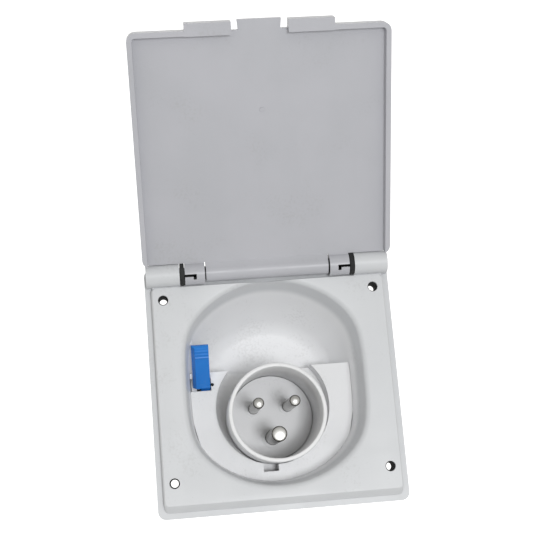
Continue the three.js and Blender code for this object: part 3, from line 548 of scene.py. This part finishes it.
@dataclass(frozen=True)
class StudioPaint:
    """The matt pale sweep that the object is shown on, lit from behind where it rises."""

    name: str
    colour: Colour
    glow: float
    glow_start: float = 0.9
    glow_full: float = 1.9

    def build(self) -> bpy.types.Material:
        """Builds the material.

        Returns:
            The material.
        """
        sh = Shader(self.name)
        tone = sh.step(sh.noise(3.0, 2.0), 0.3, 0.7)
        along = sh.add("ShaderNodeSeparateXYZ", None, {"Vector": sh.place}, "Y")
        lit = sh.step(along, self.glow_start, self.glow_full)
        sh.set(Base_Color=sh.mix(tone * 0.03, self.colour, (0.86, 0.87, 0.88)), Roughness=0.9,
               Emission_Color=sh.mix(lit, (0.0, 0.0, 0.0), (1.0, 1.0, 1.0)), Emission_Strength=self.glow,
               Specular_IOR_Level=0.1)
        return sh.material


BUILT: dict[str, bpy.types.Material] = {}


class Finish(Enum):
    """The finishes of the object, each built once."""

    # Painted light: the shell's deep colour lightens the recess. Painted shade: its gap colour blackens the
    # hinge lugs' gaps.
    SHELL = MouldedPlastic("pale_shell", (0.635, 0.645, 0.660), (0.605, 0.616, 0.632),
                           painted_light_colour=(0.870, 0.872, 0.880), gap_radius=4.9, gap_from=39.3, gap_to=39.7)
    # Painted light: the insert is made paler than the shell's plastic, standing for the light gathered in the
    # recess.
    INSERT = MouldedPlastic("pale_insert", (0.805, 0.806, 0.812), (0.775, 0.778, 0.786), roughness=0.34)
    # Painted shade: the lid's gap colour blackens the gaps round its hinge knuckles.
    LID = MouldedPlastic("lid_grey", (0.480, 0.481, 0.512), (0.452, 0.456, 0.484), roughness=0.34,
                         gap_radius=4.6, gap_from=27.7, gap_to=38.0)
    COVER = MouldedPlastic("cover_grey", (0.540, 0.552, 0.560), (0.500, 0.512, 0.520),
                           roughness=0.48, grain=0.02)
    GLAND = MouldedPlastic("black_nylon", (0.050, 0.052, 0.055), (0.038, 0.040, 0.043),
                           roughness=0.46, grain=0.02)
    LEVER = MouldedPlastic("lever_blue_plastic", (0.018, 0.215, 0.680), (0.014, 0.180, 0.600),
                           roughness=0.34, grain=0.010, waviness=0.03, dirt=0.05)
    RUBBER = SoftRubber("black_rubber", (0.018, 0.019, 0.020))
    # Painted highlight on the pin tips and painted shade on their sides.
    PIN = TurnedPin("contact_nickel", (0.420, 0.415, 0.400), (0.105, 0.100, 0.088))
    # The collar's dark nickel is partly painted shade: the ring is darkened so that it reads as the shade
    # round each pin's foot.
    COLLAR = PlatedMetal("contact_collar_nickel", (0.330, 0.322, 0.300), (0.160, 0.150, 0.120),
                         roughness=0.20)
    STEEL = PlatedMetal("zinc_steel", (0.620, 0.625, 0.630), (0.380, 0.370, 0.340), roughness=0.28)
    DARK_STEEL = PlatedMetal("blackened_steel", (0.060, 0.060, 0.062), (0.110, 0.100, 0.090), roughness=0.35)
    PAPER = StudioPaint("studio_sweep", (0.70, 0.70, 0.70), glow=0.80)

    def material(self) -> bpy.types.Material:
        """Returns the built material, the same one each time."""
        if self.name not in BUILT:
            BUILT[self.name] = self.value.build()
        return BUILT[self.name]


# ---------------------------------------------------------------- pieces


@dataclass
class Assembly:
    """Base of the sub-assemblies: it knows the frame and dresses finished copies of its nodes."""

    frame: dict[str, Any]

    def body_of(self, node: str) -> str:
        """Returns the body that a node belongs to."""
        return self.frame["nodes"][node]["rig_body"]

    def keep(self, piece: bpy.types.Object, finish: Finish, slot: str, nodes: Sequence[str],
             body: str = "") -> bpy.types.Object:
        """Gives a piece its finish and its place in the frame.

        Args:
            piece: the new object.
            finish: its finish.
            slot: the record's material slot; not used.
            nodes: the nodes that it stands for; the first one's body carries it.
            body: the body that carries a piece without a node.

        Returns:
            The piece.
        """
        piece.data.materials.clear()
        piece.data.materials.append(finish.material())
        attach(piece, body or self.body_of(nodes[0]))
        if nodes:
            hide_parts(*nodes)
        LOG.info("%s: %d faces, for %s", piece.name, len(piece.data.polygons), ", ".join(nodes))
        return piece

    def moulded_copy(self, node: str, finish: Finish, slot: str, edge: float,
                     reshape: Callable[[bpy.types.Mesh], None] | None = None) -> bpy.types.Object:
        """A merged copy of a node with softened edges, standing for it.

        Args:
            node: the node.
            finish: its finish.
            slot: the record's material slot.
            edge: the width of the edge rounding, in millimetres.
            reshape: changes the copied mesh before its edges are softened.

        Returns:
            The piece.
        """
        mesh = self.frame["nodes"][node].data.copy()
        clean_mesh(mesh)
        if reshape:
            reshape(mesh)
        piece = add_object(f"{node}_moulded", mesh)
        soften(piece, edge)
        return self.keep(piece, finish, slot, [node])


def add_object(name: str, mesh: bpy.types.Mesh) -> bpy.types.Object:
    """Links a new object with its place in its mesh.

    Args:
        name: the piece's name.
        mesh: its mesh, in the row frame.

    Returns:
        The object.
    """
    mesh.name = name
    piece = bpy.data.objects.new(name, mesh)
    bpy.context.scene.collection.objects.link(piece)
    return piece


def shade_edges(bm: bmesh.types.BMesh, sharp: float) -> None:
    """Smooths every face and breaks the shading at sharp or open edges.

    Args:
        bm: changed in place.
        sharp: the angle of a sharp edge, in degrees.
    """
    for face in bm.faces:
        face.smooth = True
    for edge in bm.edges:
        edge.smooth = len(edge.link_faces) == 2 and edge.calc_face_angle(0.0) < math.radians(sharp)


def clean_mesh(mesh: bpy.types.Mesh) -> None:
    """Merges loose triangles, joins flat ones and marks sharp edges.

    Args:
        mesh: changed in place.
    """
    flat, weld = math.radians(0.6), 0.002 * MM
    bm = bmesh.new()
    bm.from_mesh(mesh)
    bmesh.ops.remove_doubles(bm, verts=bm.verts, dist=weld)
    bmesh.ops.dissolve_degenerate(bm, edges=bm.edges, dist=weld)
    bmesh.ops.dissolve_limit(bm, angle_limit=flat, verts=bm.verts, edges=bm.edges)
    shade_edges(bm, SHARP)
    bm.to_mesh(mesh)
    bm.free()


def soften(piece: bpy.types.Object, width: float) -> None:
    """Rounds the sharp edges of a piece and applies the result.

    Args:
        piece: the object.
        width: in millimetres.
    """
    bevel = piece.modifiers.new("edge_rounding", "BEVEL")
    bevel.width, bevel.segments = width * MM, 2
    bevel.limit_method, bevel.angle_limit = "ANGLE", math.radians(SHARP)
    bevel.use_clamp_overlap, bevel.miter_outer = True, "MITER_SHARP"
    apply_modifiers(piece)
    for polygon in piece.data.polygons:
        polygon.use_smooth = True


def apply_modifiers(piece: bpy.types.Object) -> None:
    """Replaces a piece's mesh by its evaluated one and removes its modifiers."""
    graph = bpy.context.evaluated_depsgraph_get()
    result = bpy.data.meshes.new_from_object(piece.evaluated_get(graph))
    piece.modifiers.clear()
    old, piece.data = piece.data, result
    result.name = piece.name
    bpy.data.meshes.remove(old)


def smooth_by_angle(mesh: bpy.types.Mesh, sharp: float = SHARP) -> None:
    """Smooths a mesh's shading but breaks it at sharp edges.

    Args:
        mesh: changed in place.
        sharp: the angle of a sharp edge, in degrees.
    """
    bm = bmesh.new()
    bm.from_mesh(mesh)
    shade_edges(bm, sharp)
    bm.to_mesh(mesh)
    bm.free()


def points_mesh(name: str, places: Sequence[Sequence[float]], chained: bool = False) -> bpy.types.Mesh:
    """A mesh of loose points, or of one line through them.

    Args:
        name: its name.
        places: the points, in metres.
        chained: whether edges join them in order.

    Returns:
        The mesh.
    """
    mesh = bpy.data.meshes.new(name)
    edges = [(i, i + 1) for i in range(len(places) - 1)] if chained else []
    mesh.from_pydata([tuple(place) for place in places], edges, [])
    return mesh


def turned_mesh(name: str, profile: Sequence[tuple[float, float]], x: float, z: float,
                place: Matrix | None = None) -> bpy.types.Mesh:
    """Turns a profile round an axis along Y.

    Args:
        name: the mesh's name.
        profile: radius and y in metres, from the front pole to the rear pole or round a ring.
        x: the axis's x.
        z: the axis's z.
        place: where the turned mesh then goes, if its axis isn't along Y.

    Returns:
        A closed mesh with its faces outwards.
    """
    bm = bmesh.new()
    rings = []
    for radius, y in profile:
        turns = [2 * math.pi * i / TURN_STEPS for i in range(TURN_STEPS)]
        rings.append([bm.verts.new((x + radius * math.cos(a), y, z + radius * math.sin(a))) for a in turns])
    closed = profile[0][0] > 0.0
    pairs = list(zip(rings, rings[1:])) + ([(rings[-1], rings[0])] if closed else [])
    for near, far in pairs:
        for i in range(TURN_STEPS):
            j = (i + 1) % TURN_STEPS
            bm.faces.new((near[i], near[j], far[j], far[i]))
    bmesh.ops.remove_doubles(bm, verts=bm.verts, dist=TURN_WELD)
    if place:
        bm.transform(place)
    bmesh.ops.recalc_face_normals(bm, faces=bm.faces)
    mesh = bpy.data.meshes.new(name)
    bm.to_mesh(mesh)
    bm.free()
    smooth_by_angle(mesh, 40.0)
    return mesh


def middle(node: str) -> Vector:
    """Returns the middle of a node's box."""
    low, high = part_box(node)
    return (Vector(low) + Vector(high)) / 2


@dataclass
class FrontFrame(Assembly):
    """The moulded frame with its recess, and the gasket behind its flange."""

    edge: float = 0.35
    hole_pitch: tuple[float, float] = (95.0, 80.6)
    liner_bore: float = 1.72
    liner_outside: float = 2.27
    liner_from: float = -8.6
    liner_to: float = -0.3

    def build(self) -> None:
        """Builds the frame, the gasket and the fixing holes' liners."""
        self.moulded_copy("front_frame", Finish.SHELL, "frame_plastic", self.edge)
        self.moulded_copy("wall_gasket", Finish.RUBBER, "seal_rubber", 0.3)
        self._liners()

    def _liners(self) -> None:
        """Grows one rubber liner in each fixing hole."""
        half_x, half_z = (pitch / 2 * MM for pitch in self.hole_pitch)
        places = [(sx * half_x, self.liner_from * MM, sz * half_z) for sx in (-1, 1) for sz in (-1, 1)]
        shape = Shape("hole_liner", {
            "Bore": self.liner_bore * MM,
            "Wall": (self.liner_outside - self.liner_bore) * MM,
            "Length": (self.liner_to - self.liner_from) * MM,
        })

        def place(turn: Field, share: Field) -> tuple[Field, Field, Field]:
            """Runs a superellipse section round the hole."""
            angle, section = turn * math.tau, share * math.tau
            half = shape.size("Wall") * 0.5
            radius = shape.size("Bore") + half + half * soft_cos(section)
            depth = shape.size("Length") * 0.5 * (soft_sin(section) + 1.0)
            return radius * cosine(angle), depth, radius * sine(angle)

        liner = shape.sheet(36, 24, place)
        host = points_mesh("mount_hole_liners", places)
        piece = shape.grow("mount_hole_liners", host, shape.on_host(liner), Finish.RUBBER)
        self.keep(piece, Finish.RUBBER, "seal_rubber", [], "housing")


def sine(value: Field) -> Field:
    """Returns the sine of a field."""
    return value.tree.add("ShaderNodeMath", {"operation": "SINE"}, {0: value})


def cosine(value: Field) -> Field:
    """Returns the cosine of a field."""
    return value.tree.add("ShaderNodeMath", {"operation": "COSINE"}, {0: value})


def soft_cos(value: Field, square: float = 0.45) -> Field:
    """Returns a cosine with flat tops, for a rounded rectangle."""
    wave = cosine(value)
    size = value.tree.add("ShaderNodeMath", {"operation": "ABSOLUTE"}, {0: wave})
    sign = value.tree.add("ShaderNodeMath", {"operation": "SIGN"}, {0: wave})
    return sign * size ** square


def soft_sin(value: Field, square: float = 0.45) -> Field:
    """Returns a sine with flat tops, for a rounded rectangle."""
    return soft_cos(value - math.pi / 2, square)


def outward(mesh: bpy.types.Mesh) -> None:
    """Turns a closed mesh's faces outwards."""
    bm = bmesh.new()
    bm.from_mesh(mesh)
    bmesh.ops.recalc_face_normals(bm, faces=bm.faces)
    bm.to_mesh(mesh)
    bm.free()


@dataclass
class PanScrews(Assembly):
    """One set of pan-head screws with a cross recess and a cut thread, all along Y."""

    name: str = ""
    nodes: tuple[str, ...] = ()
    head_radius: float = 2.9
    head_height: float = 2.0
    shank_radius: float = 1.4
    pitch: float = 0.9
    thread_depth: float = 0.24
    cross_long: float = 1.2
    cross_wide: float = 0.26
    rows_a_turn: int = 6

    def build(self) -> None:
        """Grows the set as one mesh that stands for its nodes."""
        low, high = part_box(self.nodes[0])
        length = high[1] - low[1] - self.head_height * MM
        seats = []
        for node in self.nodes:
            centre = middle(node)
            seats.append((centre.x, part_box(node)[1][1] - self.head_height * MM, centre.z))
        shape = Shape(f"{self.name}_shape", {
            "Head radius": self.head_radius * MM,
            "Head height": self.head_height * MM,
            "Shank radius": self.shank_radius * MM,
            "Shank length": length,
            "Pitch": self.pitch * MM,
            "Thread depth": self.thread_depth * MM,
        })
        part = shape.join(self._head(shape), self._shank(shape, length))
        host = points_mesh(self.name, seats)
        piece = shape.grow(self.name, host, shape.on_host(part), Finish.STEEL)
        self.keep(piece, Finish.STEEL, "screw_steel", list(self.nodes))

    def _head(self, shape: Shape) -> Field:
        """The domed head with its cross recess.

        Args:
            shape: the tree.

        Returns:
            The head's geometry.
        """
        def place(turn: Field, share: Field) -> tuple[Field, Field, Field]:
            """Runs a domed section from the crown to the seat's middle."""
            angle, section = turn * math.tau, share * math.pi
            radius = shape.size("Head radius") * soft_sin(section, 0.55)
            height = shape.size("Head height") * (soft_cos(section, 0.7) * 0.5 + 0.5)
            return radius * sine(angle), height, radius * cosine(angle)

        head = shape.sheet(28, 16, place)
        slot = self.head_radius * MM
        deep = self.head_height * MM
        cutters = []
        long, wide = slot * self.cross_long, slot * self.cross_wide
        for width, length in ((long, wide), (wide, long)):
            bar = shape.add("GeometryNodeMeshCube", None, {"Size": (width, deep, length)})
            cutters.append(shape.add("GeometryNodeTransform", None,
                                     {"Geometry": bar, "Translation": (0.0, deep, 0.0)}))
        boolean = shape.tree.nodes.new("GeometryNodeMeshBoolean")
        boolean.operation = "DIFFERENCE"
        shape.feed(boolean.inputs[0], head)
        for cutter in cutters:
            shape.tree.links.new(cutter.socket, boolean.inputs[1])
        return Field(shape, boolean.outputs[0])

    def _shank(self, shape: Shape, length: float) -> Field:
        """The threaded shank with its point.

        Args:
            shape: the tree.
            length: the shank's length in metres.

        Returns:
            The shank's geometry.
        """
        rows = int(length / (self.pitch * MM) * self.rows_a_turn)

        def place(turn: Field, share: Field) -> tuple[Field, Field, Field]:
            """Winds the thread down the shank and closes it at both ends."""
            angle = turn * math.tau
            travel = share * shape.size("Shank length")
            phase = travel / shape.size("Pitch") + turn
            crest = shape.add("ShaderNodeMath", {"operation": "PINGPONG"}, {0: phase, 1: 0.5}) * 2.0
            taper = shape.add("ShaderNodeMapRange", None, {"Value": share, "From Min": 0.86, "From Max": 1.0,
                                                           "To Min": 1.0, "To Max": 0.0})
            plug = shape.add("ShaderNodeMapRange", None, {"Value": share, "From Min": 0.0, "From Max": 0.01,
                                                          "To Min": 0.0, "To Max": 1.0})
            radius = (shape.size("Shank radius") - shape.size("Thread depth") * (1.0 - crest)) * taper * plug
            return radius * cosine(angle), travel * -1.0, radius * sine(angle)

        return shape.sheet(20, rows, place)


@dataclass
class InletBody(Assembly):
    """The inlet body with its seals, screws, contact carrier and contacts."""

    edge: float = 0.22
    contacts: dict[str, float] = field(default_factory=lambda: {"line": 2.5, "neutral": 2.5, "earth": 3.5})
    tip_round: float = 0.9
    barrel_extra: float = 1.2
    barrel_from: float = 41.2
    wire_hole: float = 1.7
    collar_wide: float = 0.75
    collar_high: float = 0.45
    face_y: float = 32.5
    fit_gap: float = 0.27
    shelf_half: float = 37.7
    shelf_radius: float = 42.7
    shelf_y: float = 17.5
    shelf_rim: float = 3.0
    chamfer: float = 0.3
    hole_depth: float = 9.0
    hole_point: float = 0.4
    tip_flat: float = 0.96
    tip_lead: float = 0.03
    tip_steps: int = 8
    collar_steps: int = 14

    def build(self) -> None:
        """Builds the body, the carrier, the contacts and the screws."""
        self.moulded_copy("inlet_body", Finish.INSERT, "insert_plastic", self.edge, reshape=self._snug_shelf)
        self.moulded_copy("contact_carrier", Finish.INSERT, "insert_plastic", 0.2)
        for node in ("body_seal", "carrier_seal"):
            self.moulded_copy(node, Finish.RUBBER, "seal_rubber", 0.1)
        for name, radius in self.contacts.items():
            self._pin(name, radius)
            self.moulded_copy(f"terminal_screw_{name}", Finish.STEEL, "screw_steel", 0.12)
        PanScrews(self.frame, name="carrier_screws", nodes=("carrier_screw_1", "carrier_screw_2"),
                  head_radius=2.2, head_height=1.6, shank_radius=1.08, pitch=0.7, thread_depth=0.2).build()
        PanScrews(self.frame, name="inlet_screws",
                  nodes=tuple(f"inlet_screw_{number}" for number in (1, 2, 3, 4))).build()

    def _snug_shelf(self, mesh: bpy.types.Mesh) -> None:
        """Closes the fitting gap round the shelf, which is pressed home against the frame.

        Args:
            mesh: the body's mesh, changed in place.
        """
        grow_x, grow_z = 1 + self.fit_gap / self.shelf_half, 1 + self.fit_gap / self.shelf_radius
        for vertex in mesh.vertices:
            x, y, z = vertex.co / MM
            on_shelf = self.shelf_y - 0.2 < y < self.shelf_y + self.shelf_rim
            if on_shelf and (abs(x) > self.shelf_half - 1 or math.hypot(x, z) > self.shelf_radius - 1.2):
                vertex.co = Vector((x * grow_x, y, z * (grow_z if z < 0 else 1.0))) * MM

    def _pin(self, name: str, radius: float) -> None:
        """Turns one contact pin with its rounded tip, and the collar at its foot.

        Args:
            name: the contact's name.
            radius: the pin's radius in millimetres.
        """
        node = f"pin_{name}"
        front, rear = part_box(node)[0][1] / MM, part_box(node)[1][1] / MM
        centre = middle(node)
        flat = radius - self.tip_round
        profile = [(0.0, front), (flat * self.tip_flat, front), (flat, front + self.tip_lead)]
        for i in range(1, self.tip_steps + 1):
            angle = i / self.tip_steps * math.pi / 2
            profile.append((flat + self.tip_round * math.sin(angle),
                            front + self.tip_round * (1 - math.cos(angle)) + self.tip_lead))
        wide, cut = radius + self.barrel_extra, self.chamfer
        profile += [(radius, self.barrel_from), (wide - cut, self.barrel_from)]
        profile += [(wide, self.barrel_from + cut), (wide, rear - cut), (wide - cut, rear)]
        hole_end = rear - self.hole_depth
        profile += [(self.wire_hole, rear), (self.wire_hole, hole_end), (0.0, hole_end - self.hole_point)]
        mesh = turned_mesh(f"{node}_turned", [(r * MM, y * MM) for r, y in profile], centre.x, centre.z)
        self.keep(add_object(f"{node}_turned", mesh), Finish.PIN, "plated_contact", [node])
        # The collar is a darkened nickel ring, partly painted shade round the pin's foot.
        ring = []
        for i in range(self.collar_steps):
            angle = i / self.collar_steps * 2 * math.pi
            ring.append((radius + 0.08 + self.collar_wide * (0.5 + 0.5 * math.cos(angle)),
                         self.face_y - 0.05 - self.collar_high * math.sin(angle)))
        collar = turned_mesh(f"collar_{name}", [(r * MM, y * MM) for r, y in ring], centre.x, centre.z)
        self.keep(add_object(f"collar_{name}", collar), Finish.COLLAR, "plated_contact", [], "housing")


@dataclass
class RearCover(Assembly):
    """The terminal cup with its seal and screws, and the cable gland."""

    def build(self) -> None:
        """Builds the cup, its screws and the gland."""
        self.moulded_copy("rear_cover", Finish.COVER, "cover_plastic", 0.35)
        self.moulded_copy("rear_cover_seal", Finish.RUBBER, "seal_rubber", 0.15)
        PanScrews(self.frame, name="rear_cover_screws",
                  nodes=tuple(f"rear_cover_screw_{number}" for number in (1, 2, 3, 4))).build()
        for node in ("gland_body", "gland_lock_nut", "gland_nut"):
            self.moulded_copy(node, Finish.GLAND, "gland_plastic", 0.35)
        self.moulded_copy("gland_seal", Finish.RUBBER, "seal_rubber", 0.2)


@dataclass
class HingedLid(Assembly):
    """The lid, its two hinge pins and black washers between the knuckles and the lugs, which stand as painted
    shade in those gaps.
    """

    washer_bore: float = 1.6
    washer_radius: float = 5.12
    washer_from: float = 37.35
    washer_to: float = 39.3
    washer_round: float = 0.25

    def build(self) -> None:
        """Builds the lid, the pins and the washers."""
        self._shade_washers()
        self.moulded_copy("lid", Finish.LID, "lid_plastic", 0.3)
        for side in ("left", "right"):
            self.moulded_copy(f"hinge_pin_{side}", Finish.DARK_STEEL, "screw_steel", 0.15)

    def _shade_washers(self) -> None:
        """Turns one black washer on each hinge pin, a dark piece put as painted shade in the hinge's gap."""
        axis_y, axis_z = HINGE_AXIS
        turn = Matrix.Translation((0.0, axis_y, axis_z)) @ Matrix.Rotation(-math.pi / 2, 4, "Z")
        near, far, soft = self.washer_from, self.washer_to, self.washer_round
        bore, outside = self.washer_bore, self.washer_radius
        for side, name in ((-1, "left"), (1, "right")):
            ring = [(bore, near), (outside - soft, near), (outside, near + soft),
                    (outside, far - soft), (outside - soft, far), (bore, far)]
            profile = [(r * MM, side * x * MM) for r, x in ring]
            mesh = turned_mesh(f"hinge_washer_{name}", profile, 0.0, 0.0, turn)
            self.keep(add_object(f"hinge_washer_{name}", mesh), Finish.RUBBER, "seal_rubber", [], "housing")


@dataclass
class ReleaseLever(Assembly):
    """The blue lever with its pivot pin and spring."""

    foot: tuple[float, float] = (16.9, 1.3)
    tilt: float = 31.6
    flank: float = 1.5
    lift: float = 0.7
    wire: float = 0.24
    coil_radius: float = 1.9
    turns: float = 2.0
    spring_pitch: float = 0.5

    def build(self) -> None:
        """Builds the lever, the pin and the spring."""
        self.moulded_copy("release_lever", Finish.LEVER, "lever_plastic", 0.3, reshape=self._shape_paddle)
        self.moulded_copy("lever_pivot_pin", Finish.DARK_STEEL, "screw_steel", 0.1)
        self._spring()

    def _shape_paddle(self, mesh: bpy.types.Mesh) -> None:
        """Slopes the paddle's left flank and lifts its foot clear of the slot.

        Args:
            mesh: the lever's mesh, changed in place.
        """
        lean = math.radians(self.tilt)
        up, out = Vector((-math.sin(lean), math.cos(lean))), Vector((-math.cos(lean), -math.sin(lean)))
        left = min(vertex.co.x for vertex in mesh.vertices) / MM
        for vertex in mesh.vertices:
            x, y, z = vertex.co / MM
            away = Vector((y, z)) - Vector(self.foot)
            front = away.dot(out) > -0.3
            if front and x < left + 0.1:
                vertex.co.x += self.flank * MM
            if front and abs(away.dot(up)) < 0.2:
                vertex.co.y += up.x * self.lift * MM
                vertex.co.z += up.y * self.lift * MM

    def _spring(self) -> None:
        """Winds the torsion spring round the pivot pin."""
        low, high = (Vector(corner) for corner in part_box("lever_spring"))
        pin = middle("lever_pivot_pin")
        start_x = low.x + self.wire * MM
        steps = 20
        coil = []
        for i in range(int(self.turns * steps) + 1):
            angle = i / steps * math.tau
            coil.append((start_x + i / steps * self.spring_pitch * MM,
                         pin.y + self.coil_radius * MM * math.cos(angle),
                         pin.z + self.coil_radius * MM * math.sin(angle)))
        first = (coil[0][0], coil[0][1], low.z + self.wire * MM)
        last = (coil[-1][0], coil[-1][1], high.z - self.wire * MM)
        shape = Shape("torsion_spring_shape", {"Wire radius": self.wire * MM})
        line = shape.add("GeometryNodeMeshToCurve", None, {"Mesh": shape.size("Host")})
        ring = shape.add("GeometryNodeCurvePrimitiveCircle", None,
                         {"Resolution": 10, "Radius": shape.size("Wire radius")})
        wire = shape.add("GeometryNodeCurveToMesh", None,
                         {"Curve": line, "Profile Curve": ring, "Fill Caps": True})
        host = points_mesh("torsion_spring", [first, *coil, last], chained=True)
        piece = shape.grow("torsion_spring", host, wire, Finish.STEEL)
        self.keep(piece, Finish.STEEL, "screw_steel", ["lever_spring"])


# ---------------------------------------------------------------- studio


@dataclass
class SoftBox:
    """One rectangular studio light."""

    name: str
    place: tuple[float, float, float]
    aim: tuple[float, float, float]
    width: float
    height: float
    watts: float
    colour: Colour = (1.0, 1.0, 1.0)

    def build(self) -> None:
        """Adds the light."""
        light = bpy.data.lights.new(self.name, "AREA")
        light.shape, light.size, light.size_y = "RECTANGLE", self.width, self.height
        light.energy, light.color = self.watts, self.colour
        lamp = bpy.data.objects.new(self.name, light)
        lamp.location = Vector(self.place)
        lamp.rotation_euler = (Vector(self.aim) - lamp.location).to_track_quat("-Z", "Y").to_euler()
        bpy.context.scene.collection.objects.link(lamp)


@dataclass
class Studio:
    """Camera, sweep, sky and soft boxes."""

    eye: tuple[float, float, float] = (-0.04319, -0.49284, -0.04128)
    forward: tuple[float, float, float] = (0.08735, 0.97788, 0.19008)
    right: tuple[float, float, float] = (0.99407, -0.07315, -0.08046)
    focal_share: float = 2.0475
    sky: float = 0.64
    floor_drop: float = 0.45
    sweep_half: float = 3.0
    sweep_bend: float = 0.8
    sweep_steps: int = 12
    sweep_back: float = 1.6
    sweep_rise: float = 4.0
    boxes: list[SoftBox] = field(default_factory=lambda: [
        SoftBox("key_light", (0.10, -0.90, -0.12), (0.0, 0.0, 0.02), 0.17, 0.17, 3.35, (0.97, 0.98, 1.0)),
    ])

    def build(self, floor_z: float) -> None:
        """Sets up the camera, the sweep and the lights.

        Args:
            floor_z: the lowest point of the object.
        """
        self._camera()
        self._sweep(floor_z - self.floor_drop)
        self._sky()
        for box in self.boxes:
            box.build()
        bpy.context.scene.view_settings.view_transform = "Standard"

    def _camera(self) -> None:
        """Adds the camera, its axes made square to each other."""
        ahead = Vector(self.forward).normalized()
        side = Vector(self.right)
        side = (side - ahead * side.dot(ahead)).normalized()
        up = side.cross(ahead)
        data = bpy.data.cameras.new("studio_camera")
        data.sensor_width = 36.0
        data.lens = self.focal_share * data.sensor_width
        data.clip_start, data.clip_end = 0.01, 20.0
        camera = bpy.data.objects.new("studio_camera", data)
        axes = Matrix((side, up, -ahead)).transposed().to_4x4()
        camera.matrix_world = Matrix.Translation(Vector(self.eye)) @ axes
        bpy.context.scene.collection.objects.link(camera)
        bpy.context.scene.camera = camera

    def _sweep(self, floor_z: float) -> None:
        """Adds the pale floor that curves up into a backdrop.

        Args:
            floor_z: the floor's height.
        """
        half, bend, steps, back = self.sweep_half, self.sweep_bend, self.sweep_steps, self.sweep_back
        line = [(-half, floor_z)]
        for i in range(steps + 1):
            angle = i / steps * math.pi / 2
            line.append((back + bend * math.sin(angle), floor_z + bend * (1 - math.cos(angle))))
        line.append((back + bend, floor_z + self.sweep_rise))
        bm = bmesh.new()
        rows = [[bm.verts.new((x, y, z)) for x in (-half, half)] for y, z in line]
        for near, far in zip(rows, rows[1:]):
            bm.faces.new((near[0], near[1], far[1], far[0])).smooth = True
        mesh = bpy.data.meshes.new("studio_sweep")
        bm.to_mesh(mesh)
        bm.free()
        sweep = add_object("studio_sweep", mesh)
        mesh.materials.append(Finish.PAPER.material())
        sweep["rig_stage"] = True

    def _sky(self) -> None:
        """Lights the scene evenly from all round."""
        world = bpy.data.worlds.new("studio_sky")
        world.use_nodes = True
        background = world.node_tree.nodes["Background"]
        background.inputs["Color"].default_value = (1.0, 0.995, 0.96, 1.0)
        background.inputs["Strength"].default_value = self.sky
        bpy.context.scene.world = world


# ---------------------------------------------------------------- main


def plain(bounds: Sequence[Sequence[float]]) -> list[list[float]]:
    """Returns a box as plain lists of numbers."""
    return [[float(value) for value in corner] for corner in bounds]


def main() -> None:
    """Builds the whole scene in order."""
    logging.basicConfig(level=logging.INFO, format="%(name)s %(message)s")
    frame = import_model()
    cad_box = plain(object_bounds())
    Studio().build(cad_box[0][2])
    for part in (FrontFrame, InletBody, RearCover, HingedLid, ReleaseLever):
        part(frame).build()


if __name__ == "__main__":
    main()
